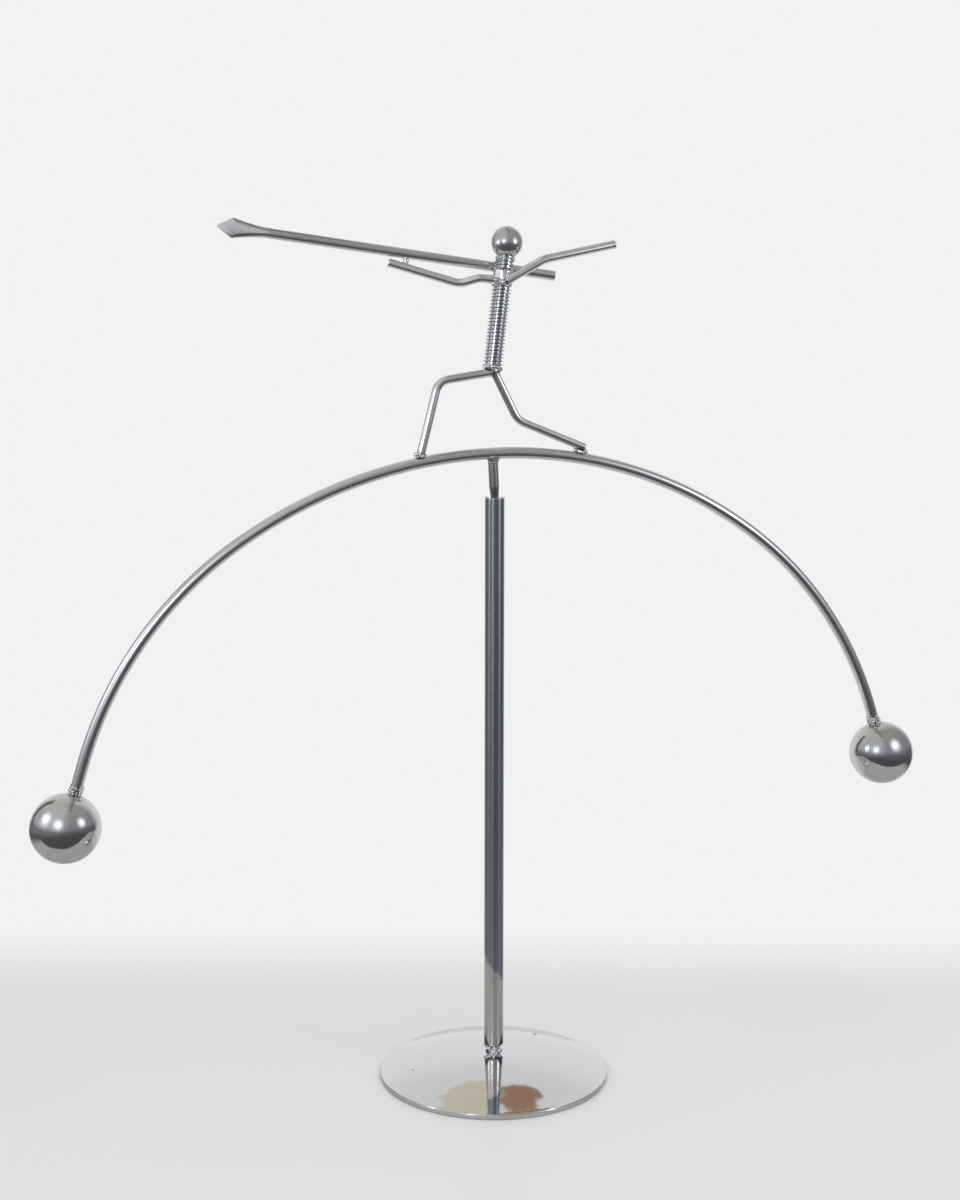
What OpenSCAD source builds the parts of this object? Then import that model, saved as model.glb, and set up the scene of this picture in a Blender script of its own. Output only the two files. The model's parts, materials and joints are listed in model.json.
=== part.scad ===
// Kinetic balance toy: a steel spear thrower stands on a weighted arch and
// balances by one pin in the cup at the top of a post.
// Millimetres. Origin: centre of the base's underside. +Z up, the arch spans X.

/* [Base and post] */
// Diameter of the domed base
base_d = 94; // [70:1:130]
// Height of the base's upright edge
base_edge_h = 2; // [1:0.1:5]
// Rise of the dome above its edge
dome_rise = 7.3; // [3:0.1:15]
// Diameter of the post
post_d = 7.94; // [6:0.01:12]
// Height of the post's top edge above the table
post_top_z = 239.2; // [180:0.1:320]
// Height of the post's lower end above the dome
post_lift = 2.9; // [2:0.1:5]
// Bevel round the post's lower end
post_bevel = 0.5; // [0.2:0.05:1]
// Diameter of the weld that the post stands on
foot_weld_d = 5.5; // [4.4:0.1:6.4]
// Number of beads in each ring of that weld
foot_ripples = 8; // [7:1:12]

/* [Pivot] */
// Diameter of the pin's rounded nose
nose_d = 2.6; // [2:0.1:4]
// Opening angle of the conical cup
cup_angle = 100; // [90:1:110]
// Width of the flat land left round the cup
cup_land = 0.5; // [0.3:0.05:1]
// Depth of the saddle that is filed across the post's end
saddle_depth = 0.8; // [0.3:0.05:1.2]
// Radius of that saddle
saddle_r = 9; // [7:0.5:14]
// Running clearance between the pivot's pieces
pivot_gap = 0.03; // [0.02:0.01:0.06]
// Diameter of the pin
pin_d = 3.97; // [3.4:0.01:5]
// Diameter of the pin's lower end, where it meets its nose
pin_end_d = 3; // [2.9:0.05:3.3]
// Length of the taper between the pin's end and its full diameter
pin_taper = 4.5; // [3:0.1:8]

/* [Arch and balls] */
// Diameter of the arch's rod
arch_d = 4.76; // [4:0.01:7]
// Height of the arch's centreline above the pivot
crown_h = 18.4; // [14:0.1:26]
// Radius of the arch over its crown, left of the pin
left_crown_r = 194.5; // [180:0.5:220]
// Radius of the arch over its crown, right of the pin
right_crown_r = 180; // [172:0.5:220]
// Angle from the pin to where the left flank begins
left_crown_angle = 32.2; // [25:0.1:40]
// Angle from the pin to where the right flank begins
right_crown_angle = 38.5; // [30:0.1:44]
// Radius of the arch along its left flank
left_flank_r = 155; // [140:0.5:165]
// Radius of the arch along its right flank
right_flank_r = 152.5; // [140:0.5:165]
// Angle at which the left flank's bend ends
left_turn = 70.9; // [66:0.1:78]
// Angle at which the right flank's bend ends
right_turn = 76.9; // [66:0.1:78]
// Straight end of the rod past the left bend
left_tail = 11.4; // [2:0.1:15]
// Straight end of the rod past the right bend
right_tail = 1.5; // [0.5:0.1:15]
// Diameter of the two weights
ball_d = 27; // [22:0.5:34]
// How far the balance settles down on the spear's side, degrees
settle_angle = 2.9; // [0:0.1:4]

/* [Figure] */
// Height above the pivot of the point where the legs' axes cross
hip_h = 50.7; // [44:0.1:56]
// Distance of that point to the right of the pin
hip_x = 2.3; // [-3:0.1:4]
// Diameter of the threaded stud that makes the torso
torso_d = 7.94; // [6:0.01:10]
// Length of the torso's axis from the hip to the head's centre
torso_len = 51.2; // [44:0.1:60]
// Lean of the torso away from the spear's point, degrees
torso_lean = 9.6; // [0:0.1:14]
// Distance of the torso's axis to the left of the legs' crossing
torso_set = 0.95; // [0:0.05:1.5]
// Diameter of the head
head_d = 12.7; // [10:0.1:16]
// How deep the head sits in the end of the stud
head_sink = 0.75; // [0.3:0.05:1.2]
// Diameter of the arms and legs
limb_d = 3.5; // [3:0.05:4.5]
// Length of the front thigh to the corner of its knee
front_thigh_len = 23.3; // [20:0.1:26]
// Direction of the front thigh, degrees below the level
front_thigh_fall = 7.1; // [0:0.1:12]
// Angle on the arch at which the front foot stands
front_foot_at = 8.6; // [7.5:0.05:11]
// Bend radius of the front knee
front_knee_r = 6; // [4:0.5:8]
// Length of the rear thigh to the corner of its knee
rear_thigh_len = 21.5; // [19:0.1:25]
// Direction of the rear thigh, degrees below the level
rear_thigh_fall = 65.9; // [60:0.1:70]
// Angle on the arch above which the rear foot ends
rear_foot_at = 12.15; // [10.5:0.05:14]
// Gap between the rear toe's underside and the arch
rear_toe_gap = 0.4; // [0.2:0.1:1.5]
// Bend radius of the rear knee
rear_knee_r = 8; // [5:0.5:10]

/* [Arms] */
// Height of the front arm's shoulder along the torso's axis
front_shoulder_at = 36.1; // [33:0.1:38]
// Front upper arm, from the shoulder to the corner that levels it
front_upper_arm_len = 9.5; // [8:0.1:12]
// Rise of the front upper arm away from the torso, degrees
front_upper_rise = 7.5; // [0:0.5:10]
// Front arm from that corner to the corner of the elbow
front_mid_arm_len = 8; // [7:0.1:11]
// Fall of that stretch, degrees
front_mid_fall = 13.7; // [6:0.1:20]
// Front forearm, from the elbow's corner to the hand
front_forearm_len = 28.9; // [25:0.1:33]
// Rise of the front forearm, degrees
front_forearm_rise = 18.9; // [15:0.1:19.2]
// Bend radius of the front arm
front_elbow_r = 9; // [6:0.5:12]
// How far the front shoulder stands before the torso's axis
front_arm_ahead = 0.5; // [0:0.1:1.5]
// How far back the front arm has come at its elbow
front_elbow_back = 2; // [0.5:0.1:3]
// Height of the rear arm's shoulder along the torso's axis
rear_shoulder_at = 35.3; // [33:0.1:38]
// Rear upper arm, from the torso to the corner of the elbow
rear_upper_arm_len = 17.8; // [15:0.1:22]
// Rise of the rear upper arm, degrees
rear_upper_rise = 27.4; // [22:0.1:35]
// Rear forearm, from the elbow's corner to the hand
rear_forearm_len = 31.5; // [26:0.1:38]
// Rise of the rear forearm, degrees
rear_forearm_rise = 10.4; // [5:0.1:18]
// Bend radius of the rear elbow
rear_elbow_r = 16; // [8:0.5:20]
// How far back the rear arm has come at its elbow
rear_elbow_back = 0.5; // [0:0.1:2]
// How far back the rear arm has come at its hand
rear_hand_back = 3.2; // [0:0.1:5]

/* [Spear] */
// Diameter of the spear's shaft
spear_d = 4; // [3.5:0.05:5]
// Length of the whole spear
spear_len = 135.3; // [115:0.5:160]
// Height of the spear along the torso's axis where they cross
spear_at = 41.9; // [41:0.1:42.5]
// Length of the spear behind the torso
spear_tail_len = 22.7; // [18:0.5:32]
// Slope of the spear up towards its point, degrees
spear_slope = 9.3; // [8.7:0.1:10]
// Length of the hammered blade
blade_len = 18.3; // [14:0.1:24]
// Width of the blade at its corners
blade_w = 7.9; // [6:0.1:11]
// Distance of the blade's corners from its point
blade_point = 5.8; // [4:0.1:8]
// Thickness of the blade
blade_t = 1.5; // [1:0.1:2.2]

/* [Welds] */
// Clearance between the pieces that the welds join
weld_gap = 0.02; // [0.01:0.01:0.05]
// Radius of the small weld beads
bead_r = 1.2; // [0.9:0.05:1.5]
// Width of the weld collar round the top of the pin
pin_collar_w = 1.3; // [0.8:0.05:1.8]
// Height of that collar
pin_collar_h = 3.4; // [2.4:0.1:5]
// Number of beads round a ball's weld
ball_beads = 9; // [6:1:12]
// Number of beads round the front foot
foot_beads = 7; // [5:1:10]
// Number of beads round the torso's foot
hip_beads = 14; // [13:1:18]
// Distance of the hand's weld from the front hand's end
hand_weld_back = 7; // [4:0.5:10]

/* [Hidden] */
$fn = 64;

STEEL = [0.72, 0.73, 0.75];
DARK_STEEL = [0.58, 0.59, 0.62];
WELD = [0.82, 0.82, 0.83];

// How finely the bent rods are divided
bend_steps = 6;
limb_sides = 16;
arch_steps = 20;
arch_sides = 24;

post_r = post_d / 2;
pin_r = pin_d / 2;
arch_r = arch_d / 2;
ball_r = ball_d / 2;
limb_r = limb_d / 2;
torso_r = torso_d / 2;
head_r = head_d / 2;
spear_r = spear_d / 2;
nose_r = nose_d / 2;

// The dome is a cap of a sphere with a small flat under the post
base_r = base_d / 2;
dome_r = (base_r * base_r + dome_rise * dome_rise) / (2 * dome_rise);
dome_centre_z = base_edge_h + dome_rise - dome_r;
dome_flat_z = dome_centre_z + sqrt(dome_r * dome_r - post_r * post_r);

// The post stands above that flat on its weld, which is three rings of beads
post_end_z = dome_flat_z + post_lift;
foot_weld_r = foot_weld_d / 2;
foot_bead_r = foot_weld_d / 5;
foot_rings = 3;

// The nose rests in the cup; its centre is the point that everything turns about
cup_half = cup_angle / 2;
cup_r = post_r - cup_land;
cup_apex_drop = (nose_r + pivot_gap) / sin(cup_half);
pivot_drop = cup_r / tan(cup_half) - cup_apex_drop;
pivot_z = post_top_z - pivot_drop;

// Plane geometry of the balance: [x, z] from the pivot, angles from the crown's
// top, negative on the left. Each side of the arch has its own two radii
function side(t) = t < 0 ? -1 : 1;
function crown_r(t) = t < 0 ? left_crown_r : right_crown_r;
function crown_angle(t) = t < 0 ? left_crown_angle : right_crown_angle;
function flank_r(t) = t < 0 ? left_flank_r : right_flank_r;
function crown_c(t) = [0, crown_h - crown_r(t)];
function flank_c(t) = crown_c(t)
  + (crown_r(t) - flank_r(t)) * [side(t) * sin(crown_angle(t)), cos(crown_angle(t))];
function arch_point(t, lift = 0) = abs(t) <= crown_angle(t)
  ? crown_c(t) + (crown_r(t) + lift) * [sin(t), cos(t)]
  : flank_c(t) + (flank_r(t) + lift) * [sin(t), cos(t)];
function arch_heading(t) = side(t) * [cos(t), -sin(t)];
function arch_end(t, tail) = arch_point(t) + tail * arch_heading(t);
function ball_place(t, tail) = arch_end(t, tail + ball_r);
left_ball_at = ball_place(-left_turn, left_tail);
right_ball_at = ball_place(right_turn, right_tail);

// Directions in that plane, by their rise from the level, and places in space
function leftward(rise) = [-cos(rise), sin(rise)];
function rightward(rise) = [cos(rise), sin(rise)];
function in_plane(p, y = 0) = [p[0], y, p[1]];

// Torso and head
hip = [hip_x, hip_h];
torso_dir = [sin(torso_lean), cos(torso_lean)];
torso_foot = limb_r;
torso_top = torso_len - head_r + head_sink;
function torso_point(s) = hip - [torso_set, 0] + s * torso_dir;
head_at = torso_point(torso_len);

// Legs: the rear leg butts on the torso's foot, and the front thigh on the rear one
leg_fork = 180 - front_thigh_fall - rear_thigh_fall;
rear_leg_skew = acos(leftward(rear_thigh_fall) * torso_dir);
torso_foot_rise = (torso_point(torso_foot) - hip) * torso_dir;
rear_leg_top = torso_foot_rise / cos(rear_leg_skew) - limb_r * tan(rear_leg_skew) - weld_gap;
rear_hip = hip + rear_leg_top * leftward(rear_thigh_fall);
rear_knee = hip - rear_thigh_len * leftward(rear_thigh_fall);
rear_foot = arch_point(rear_foot_at, arch_r + rear_toe_gap + limb_r);
front_hip_out = limb_r * sin(leg_fork) - rear_leg_top * cos(leg_fork) + weld_gap;
front_hip = hip + front_hip_out * leftward(-front_thigh_fall);
front_knee = hip + front_thigh_len * leftward(-front_thigh_fall);
shin_span = front_knee - arch_point(-front_foot_at, arch_r + limb_r / 2);
foot_lean = front_foot_at + atan2(shin_span[0], shin_span[1]);
front_foot = arch_point(-front_foot_at, arch_r + weld_gap + limb_r * sin(foot_lean));
front_shin_up = unit(front_knee - front_foot);

// Spear, behind the torso
spear_y = torso_r + spear_r + weld_gap;
spear_dir = leftward(spear_slope);
spear_end = torso_point(spear_at) - spear_tail_len * spear_dir;
spear_tip = spear_end + spear_len * spear_dir;

// Arms: the front arm butts on the torso's side and reaches back to the spear;
// the rear arm starts on the torso's front
front_arm_y = -front_arm_ahead;
front_elbow_y = front_arm_y + front_elbow_back;
front_hand_y = spear_y;
front_shoulder = torso_point(front_shoulder_at);
front_skew = abs(torso_lean - front_upper_rise);
front_root_out = (torso_r + limb_r * sin(front_skew)) / cos(front_skew) + weld_gap;
front_root = front_shoulder + front_root_out * leftward(front_upper_rise);
front_corner = front_shoulder + front_upper_arm_len * leftward(front_upper_rise);
front_elbow = front_corner + front_mid_arm_len * leftward(-front_mid_fall);
front_hand = front_elbow + front_forearm_len * leftward(front_forearm_rise);
rear_arm_y = -torso_r - limb_r - weld_gap;
rear_elbow_y = rear_arm_y + rear_elbow_back;
rear_hand_y = rear_arm_y + rear_hand_back;
rear_shoulder = torso_point(rear_shoulder_at);
rear_elbow = rear_shoulder + rear_upper_arm_len * rightward(rear_upper_rise);
rear_hand = rear_elbow + rear_forearm_len * rightward(rear_forearm_rise);
front_arm_path = [in_plane(front_root, front_arm_y), in_plane(front_corner, front_arm_y),
  in_plane(front_elbow, front_elbow_y), in_plane(front_hand, front_hand_y)];
rear_arm_path = [in_plane(rear_shoulder, rear_arm_y), in_plane(rear_elbow, rear_elbow_y),
  in_plane(rear_hand, rear_hand_y)];
front_leg_path = [in_plane(front_hip), in_plane(front_knee), in_plane(front_foot)];
rear_leg_path = [in_plane(rear_hip), in_plane(rear_knee), in_plane(rear_foot)];

// Weld between the front hand and the spear
hand_weld_low = front_hand - hand_weld_back * leftward(front_forearm_rise);
hand_weld_high = spear_end + ((hand_weld_low - spear_end) * spear_dir) * spear_dir;

// Rods and bends
function unit(v) = v / norm(v);
function any_normal(w) = abs(w[2]) < 0.9 ? unit(cross([0, 0, 1], w)) : unit(cross([1, 0, 0], w));

// Draws its children with their X, Y and Z axes along u, v, w at point p
module in_frame(p, u, v, w) {
  multmatrix([[u[0], v[0], w[0], p[0]], [u[1], v[1], w[1], p[1]], [u[2], v[2], w[2], p[2]], [0, 0, 0, 1]])
    children();
}

module rod(a, b, d) {
  w = unit(b - a);
  u = any_normal(w);
  in_frame(a, u, cross(w, u), w) cylinder(h = norm(b - a), d = d);
}

// A station is [centre, heading] on a rod's centreline. The points p are its
// corners, and each inner corner is bent to radius r in a number of steps
function go(p, i) = unit(p[i + 1] - p[i]);
function corner_station(p, i, r, f) =
  let(a = go(p, i - 1), b = go(p, i), turn = acos(a * b), inward = unit(b - (a * b) * a), t = f * turn)
  [p[i] - r * tan(turn / 2) * a + r * sin(t) * a + r * (1 - cos(t)) * inward, cos(t) * a + sin(t) * inward];
function bent_stations(p, r) = concat(
  [[p[0], go(p, 0)]],
  [for (i = [1 : len(p) - 2]) for (k = [0 : bend_steps]) corner_station(p, i, r, k / bend_steps)],
  [[p[len(p) - 1], go(p, len(p) - 2)]]);

// Ring of points at a station: half sizes in the plane and across it, and how
// round it is, from 1 for an ellipse towards 0 for a rectangle
function rounded(c, e) = (c < 0 ? -1 : 1) * pow(abs(c), e);
function ring(s, half_w, half_t, e = 1, n = 24) =
  let(u = unit(cross([0, 1, 0], s[1])), v = cross(s[1], u))
  [for (k = [0 : n - 1]) let(a = 360 * k / n)
    s[0] + half_w * rounded(cos(a), e) * u + half_t * rounded(sin(a), e) * v];

// Closed skin over a list of rings that all have as many points
module skin(rings) {
  n = len(rings[0]);
  last = len(rings) - 1;
  points = [for (r = rings) each r];
  walls = [for (k = [0 : last - 1]) for (i = [0 : n - 1])
    let(j = (i + 1) % n, a = k * n, b = a + n) each [[a + i, b + i, b + j], [a + i, b + j, a + j]]];
  start = [for (i = [0 : n - 1]) i];
  end = [for (i = [n - 1 : -1 : 0]) last * n + i];
  polyhedron(points, concat(walls, [start], [end]), convexity = 6);
}

module bent_rod(p, r, d) skin([for (s = bent_stations(p, r)) ring(s, d / 2, d / 2, n = limb_sides)]);

// The balance stands on its pivot, settled a little to the left
module settled() {
  translate([0, 0, pivot_z]) rotate([0, -settle_angle, 0]) children();
}

// Base and post

module dome_solid() {
  rotate_extrude($fn = 180) {
    square([base_r, base_edge_h]);
    intersection() {
      translate([0, dome_centre_z]) circle(r = dome_r, $fn = 720);
      translate([0, base_edge_h]) square([base_r, dome_flat_z - base_edge_h]);
    }
  }
}

module base_dome() color(STEEL) dome_solid();

module post_bar() {
  translate([0, 0, post_end_z])
    cylinder(h = post_bevel, d1 = post_d - 2 * post_bevel, d2 = post_d, $fn = 96);
  translate([0, 0, post_end_z + post_bevel])
    cylinder(h = post_top_z - post_end_z - post_bevel, d = post_d, $fn = 96);
}

module post() color(STEEL) difference() {
  post_bar();
  translate([0, 0, pivot_z - cup_apex_drop])
    cylinder(h = post_d, r1 = 0, r2 = post_d * tan(cup_half), $fn = 96);
  translate([0, 0, post_top_z - saddle_depth + saddle_r]) rotate([90, 0, 0])
    cylinder(h = 2 * post_d, r = saddle_r, center = true, $fn = 128);
}

// Uneven column of weld metal, with one bead that ran out under the post's left edge
module foot_weld() color(WELD) difference() {
  union() {
    translate([0, 0, dome_flat_z]) cylinder(h = post_lift, r = foot_weld_r - foot_bead_r / 2);
    for (k = [0 : foot_rings - 1]) for (i = [0 : foot_ripples - 1])
      rotate([0, 0, 360 * (i + k / 2) / foot_ripples])
        translate([foot_weld_r - foot_bead_r, 0, dome_flat_z + post_lift * k / (foot_rings - 1)])
          sphere(r = foot_bead_r * (1 + 0.1 * ((i + 2 * k) % 3)), $fn = 32);
    translate([post_bevel - post_r, 0, post_end_z]) sphere(r = foot_bead_r, $fn = 32);
  }
  dome_solid();
  post_bar();
}

// Pivot: the nose and the pin are turned round the balance's own upright axis

module nose_space(gap) sphere(r = nose_r + gap, $fn = 64);

module pivot_tip() color(DARK_STEEL) settled() nose_space(0);

pin_foot_h = 0.5;
pin_top_h = crown_h - arch_r - weld_gap;

module pivot_pin() color(STEEL) settled() difference() {
  union() {
    translate([0, 0, pin_foot_h]) cylinder(h = pin_taper, d1 = pin_end_d, d2 = pin_d);
    translate([0, 0, pin_foot_h + pin_taper])
      cylinder(h = pin_top_h - pin_foot_h - pin_taper, d = pin_d);
  }
  nose_space(pivot_gap);
}

// Arch and weights

// Space that the arch's crown takes among its welds
module arch_bend(c, r, from, to) {
  translate(in_plane(c)) rotate([90, 0, 0]) rotate([0, 0, 90 - to])
    rotate_extrude(angle = to - from, $fn = 360) translate([r, 0]) circle(r = arch_r + weld_gap, $fn = 48);
}

module left_crown_solid() arch_bend(crown_c(-1), left_crown_r, -left_crown_angle, left_crown_angle);
module right_crown_solid() arch_bend(crown_c(1), right_crown_r, -right_crown_angle, right_crown_angle);

// Angles of the stations along the arch, closer together on the flanks
arch_angles = concat(
  [for (k = [0 : arch_steps - 1]) -left_turn + (left_turn - left_crown_angle) * k / arch_steps],
  [for (k = [0 : arch_steps - 1]) left_crown_angle * (k / arch_steps - 1)],
  [for (k = [0 : arch_steps - 1]) right_crown_angle * k / arch_steps],
  [for (k = [0 : arch_steps]) right_crown_angle + (right_turn - right_crown_angle) * k / arch_steps]);
function along(t) = in_plane([cos(t), -sin(t)]);
arch_stations = concat(
  [[in_plane(arch_end(-left_turn, left_tail)), along(-left_turn)]],
  [for (t = arch_angles) [in_plane(arch_point(t)), along(t)]],
  [[in_plane(arch_end(right_turn, right_tail)), along(right_turn)]]);

module arch_rod() color(STEEL) settled()
  skin([for (s = arch_stations) ring(s, arch_r, arch_r, n = arch_sides)]);

module ball_solid(at) translate(in_plane(at)) sphere(r = ball_r, $fn = 96);

module left_ball() color(STEEL) settled() ball_solid(left_ball_at);
module right_ball() color(STEEL) settled() ball_solid(right_ball_at);

// Ring of beads about the axis w through point p
module bead_ring(p, w, ring_r, n, r) {
  u = [0, 1, 0];
  in_frame(p, u, cross(w, u), w) for (i = [0 : n - 1]) rotate([0, 0, 360 * i / n])
    translate([ring_r, 0, 0]) sphere(r = r * (1 + 0.1 * (i % 3)), $fn = 32);
}

module ball_weld(t, tail, at) difference() {
  bead_ring(in_plane(arch_end(t, tail - bead_r / 3)), in_plane(arch_heading(t)), arch_r + bead_r / 4,
    ball_beads, bead_r);
  ball_solid(at);
  rod(in_plane(arch_end(t, -arch_d)), in_plane(at), arch_d + 2 * weld_gap);
}

module left_ball_weld() color(WELD) settled() ball_weld(-left_turn, left_tail, left_ball_at);
module right_ball_weld() color(WELD) settled() ball_weld(right_turn, right_tail, right_ball_at);

module pin_weld() color(WELD) settled() difference() {
  rotate_extrude($fn = 64) polygon([
    [pin_r + weld_gap, crown_h - arch_r - pin_collar_h],
    [pin_r + pin_collar_w / 3, crown_h - arch_r - pin_collar_h / 2],
    [pin_r + pin_collar_w, crown_h - arch_r - pin_collar_h / 8],
    [pin_r + pin_collar_w, crown_h - arch_r / 3],
    [pin_r + weld_gap, crown_h - arch_r / 3]]);
  left_crown_solid();
}

// Figure

module front_thigh_solid() rod(in_plane(front_hip), in_plane(front_knee), limb_d);
module rear_thigh_solid() rod(in_plane(rear_hip), in_plane(rear_knee), limb_d);
module torso_solid(from, to) rod(in_plane(torso_point(from)), in_plane(torso_point(to)), torso_d);
module head_solid() translate(in_plane(head_at)) sphere(r = head_r, $fn = 72);

module front_leg() color(STEEL) settled() bent_rod(front_leg_path, front_knee_r, limb_d);
module rear_leg() color(STEEL) settled() bent_rod(rear_leg_path, rear_knee_r, limb_d);

module torso_stud() color(DARK_STEEL) settled() difference() {
  torso_solid(torso_foot, torso_top);
  head_solid();
}

module head_ball() color(STEEL) settled() head_solid();

// Beads centred on the points p, each with its own radius in r
module beads(p, r) for (i = [0 : len(p) - 1]) translate(p[i]) sphere(r = r[i], $fn = 32);

module front_foot_weld() color(WELD) settled() difference() {
  bead_ring(in_plane(front_foot), in_plane(front_shin_up), limb_r + bead_r / 4, foot_beads, bead_r);
  left_crown_solid();
  rod(in_plane(front_foot - limb_d * front_shin_up), in_plane(front_foot + limb_d * front_shin_up), limb_d);
}

// Angles along the arch from the rear foot to its two beads
rear_beads_off = [-1.2, 0.1];

module rear_foot_weld() color(WELD) settled() difference() {
  beads([for (s = rear_beads_off) in_plane(arch_point(rear_foot_at + s, arch_r + bead_r / 3))],
    [bead_r, bead_r * 1.1]);
  right_crown_solid();
  rod(in_plane(rear_foot), in_plane(rear_knee), limb_d);
}

// Ring of beads under the torso's foot, and metal run in round the legs' roots
module hip_weld() color(WELD) settled() difference() {
  union() {
    bead_ring(in_plane(torso_point(torso_foot)), in_plane(torso_dir), torso_r - bead_r / 2,
      hip_beads, bead_r * 0.8);
    beads([
      in_plane(hip + [0.6, 0.3] * limb_r, -limb_r / 2),
      in_plane(hip + [0.6, 0.3] * limb_r, limb_r / 2),
      in_plane(hip + [-1.4, 0.4] * limb_r, limb_r / 2)],
      [bead_r * 1.3, bead_r * 1.3, bead_r * 1.1]);
  }
  torso_solid(torso_foot, torso_top);
  front_thigh_solid();
  rear_thigh_solid();
}

module neck_ring() {
  w = in_plane(torso_dir);
  u = [0, 1, 0];
  in_frame(in_plane(torso_point(torso_top)), u, cross(w, u), w)
    rotate_extrude($fn = 64) translate([torso_r - bead_r / 3, 0]) circle(r = bead_r * 0.6, $fn = 24);
}

module neck_weld() color(WELD) settled() difference() {
  neck_ring();
  torso_solid(torso_foot, torso_top);
  head_solid();
}

module front_arm() color(STEEL) settled() bent_rod(front_arm_path, front_elbow_r, limb_d);
module rear_arm() color(STEEL) settled() bent_rod(rear_arm_path, rear_elbow_r, limb_d);

module shaft_solid() rod(in_plane(spear_end, spear_y), in_plane(spear_tip, spear_y), spear_d);
module front_root_solid() rod(front_arm_path[0], front_arm_path[1], limb_d);
module rear_root_solid() rod(rear_arm_path[0], rear_arm_path[1], limb_d);
module forearm_solid() rod(front_arm_path[2], front_arm_path[3], limb_d);

// Weld metal round the shoulders, in front of the torso and at its left
module shoulder_weld() color(WELD) settled() difference() {
  beads([
    in_plane(torso_point(front_shoulder_at) + [-torso_r, limb_r * 0.7], 0),
    in_plane(torso_point(front_shoulder_at) + [-torso_r, -limb_r * 0.7], -1),
    in_plane(torso_point(front_shoulder_at) + [-torso_r * 0.7, 0], -torso_r * 0.8),
    in_plane(torso_point(front_shoulder_at + limb_r * 0.85) + [-torso_r * 0.3, 0], -torso_r),
    in_plane(torso_point(rear_shoulder_at + limb_r * 0.7), -torso_r),
    in_plane(torso_point(rear_shoulder_at + limb_r * 1.5) + [torso_r * 0.3, 0], -torso_r),
    in_plane(torso_point(rear_shoulder_at) - [0.8, 0.2] * limb_r, -torso_r)],
    [bead_r * 1.3, bead_r * 1.2, bead_r * 1.3, bead_r * 1.1, bead_r * 1.2, bead_r, bead_r * 1.3]);
  torso_solid(0, torso_len);
  front_root_solid();
  rear_root_solid();
  shaft_solid();
}

// Hammered blade: the round rod spreads into a flat, pointed leaf
blade_rings = 12;
neck_span = blade_len - blade_point;
point_tip_w = blade_w / 10;
blade_x = concat([0, blade_point / 2],
  [for (i = [0 : blade_rings]) blade_point + neck_span * i / blade_rings]);
function flank(x) = max(0, (x - blade_point) / neck_span);
function blade_half_w(x) = x < blade_point
  ? point_tip_w / 2 + (blade_w - point_tip_w) / 2 * x / blade_point
  : spear_r + (blade_w / 2 - spear_r) * pow(1 - flank(x), 1.4);
function blade_half_t(x) = blade_t / 2 * (0.75 + 0.25 * min(1, x / blade_point))
  + (spear_r - blade_t / 2) * pow(flank(x), 1.8);
function blade_squareness(x) = 0.34 + 0.66 * pow(flank(x), 1.2);
function spear_station(x) = [in_plane(spear_tip - x * spear_dir, spear_y), in_plane(-spear_dir)];

module spear() color(DARK_STEEL) settled() skin(concat(
  [for (x = blade_x) ring(spear_station(x), blade_half_w(x), blade_half_t(x), blade_squareness(x))],
  [ring(spear_station(spear_len), spear_r, spear_r)]));

module back_weld() color(WELD) settled() difference() {
  beads([for (s = [-1, 1])
    in_plane(torso_point(spear_at - s * (spear_r + bead_r / 3)), torso_r + bead_r / 2)],
    [bead_r * 1.1, bead_r * 1.1]);
  torso_solid(0, torso_len);
  shaft_solid();
  head_solid();
  neck_ring();
}

module hand_weld() color(WELD) settled() difference() {
  rod(in_plane(hand_weld_low, front_hand_y), in_plane(hand_weld_high, spear_y), bead_r * 2);
  forearm_solid();
  shaft_solid();
}

base_dome();
post();
foot_weld();
pivot_tip();
pivot_pin();
pin_weld();
arch_rod();
left_ball();
right_ball();
left_ball_weld();
right_ball_weld();
front_leg();
rear_leg();
front_foot_weld();
rear_foot_weld();
hip_weld();
torso_stud();
neck_weld();
head_ball();
front_arm();
rear_arm();
shoulder_weld();
spear();
back_weld();
hand_weld();
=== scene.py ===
"""Looks of the kinetic balance toy: bent rods, balls, a threaded stud and the welds that join them.

On the modelling bench lengths are millimetres. A finished piece is set in its place in metres.
The balance is modelled upright, with its pivot at the origin, and then settled as it hangs at rest.
"""

import json
import logging
import math
from contextlib import contextmanager
from dataclasses import dataclass
from enum import Enum
from functools import wraps
from random import Random
from typing import Any, Callable, ClassVar, Iterator, Sequence

import bmesh
import bpy
from bpy.types import Material, Node, NodeSocket, NodeTree, Object
from mathutils import Matrix, Quaternion, Vector
from mathutils.kdtree import KDTree

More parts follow.
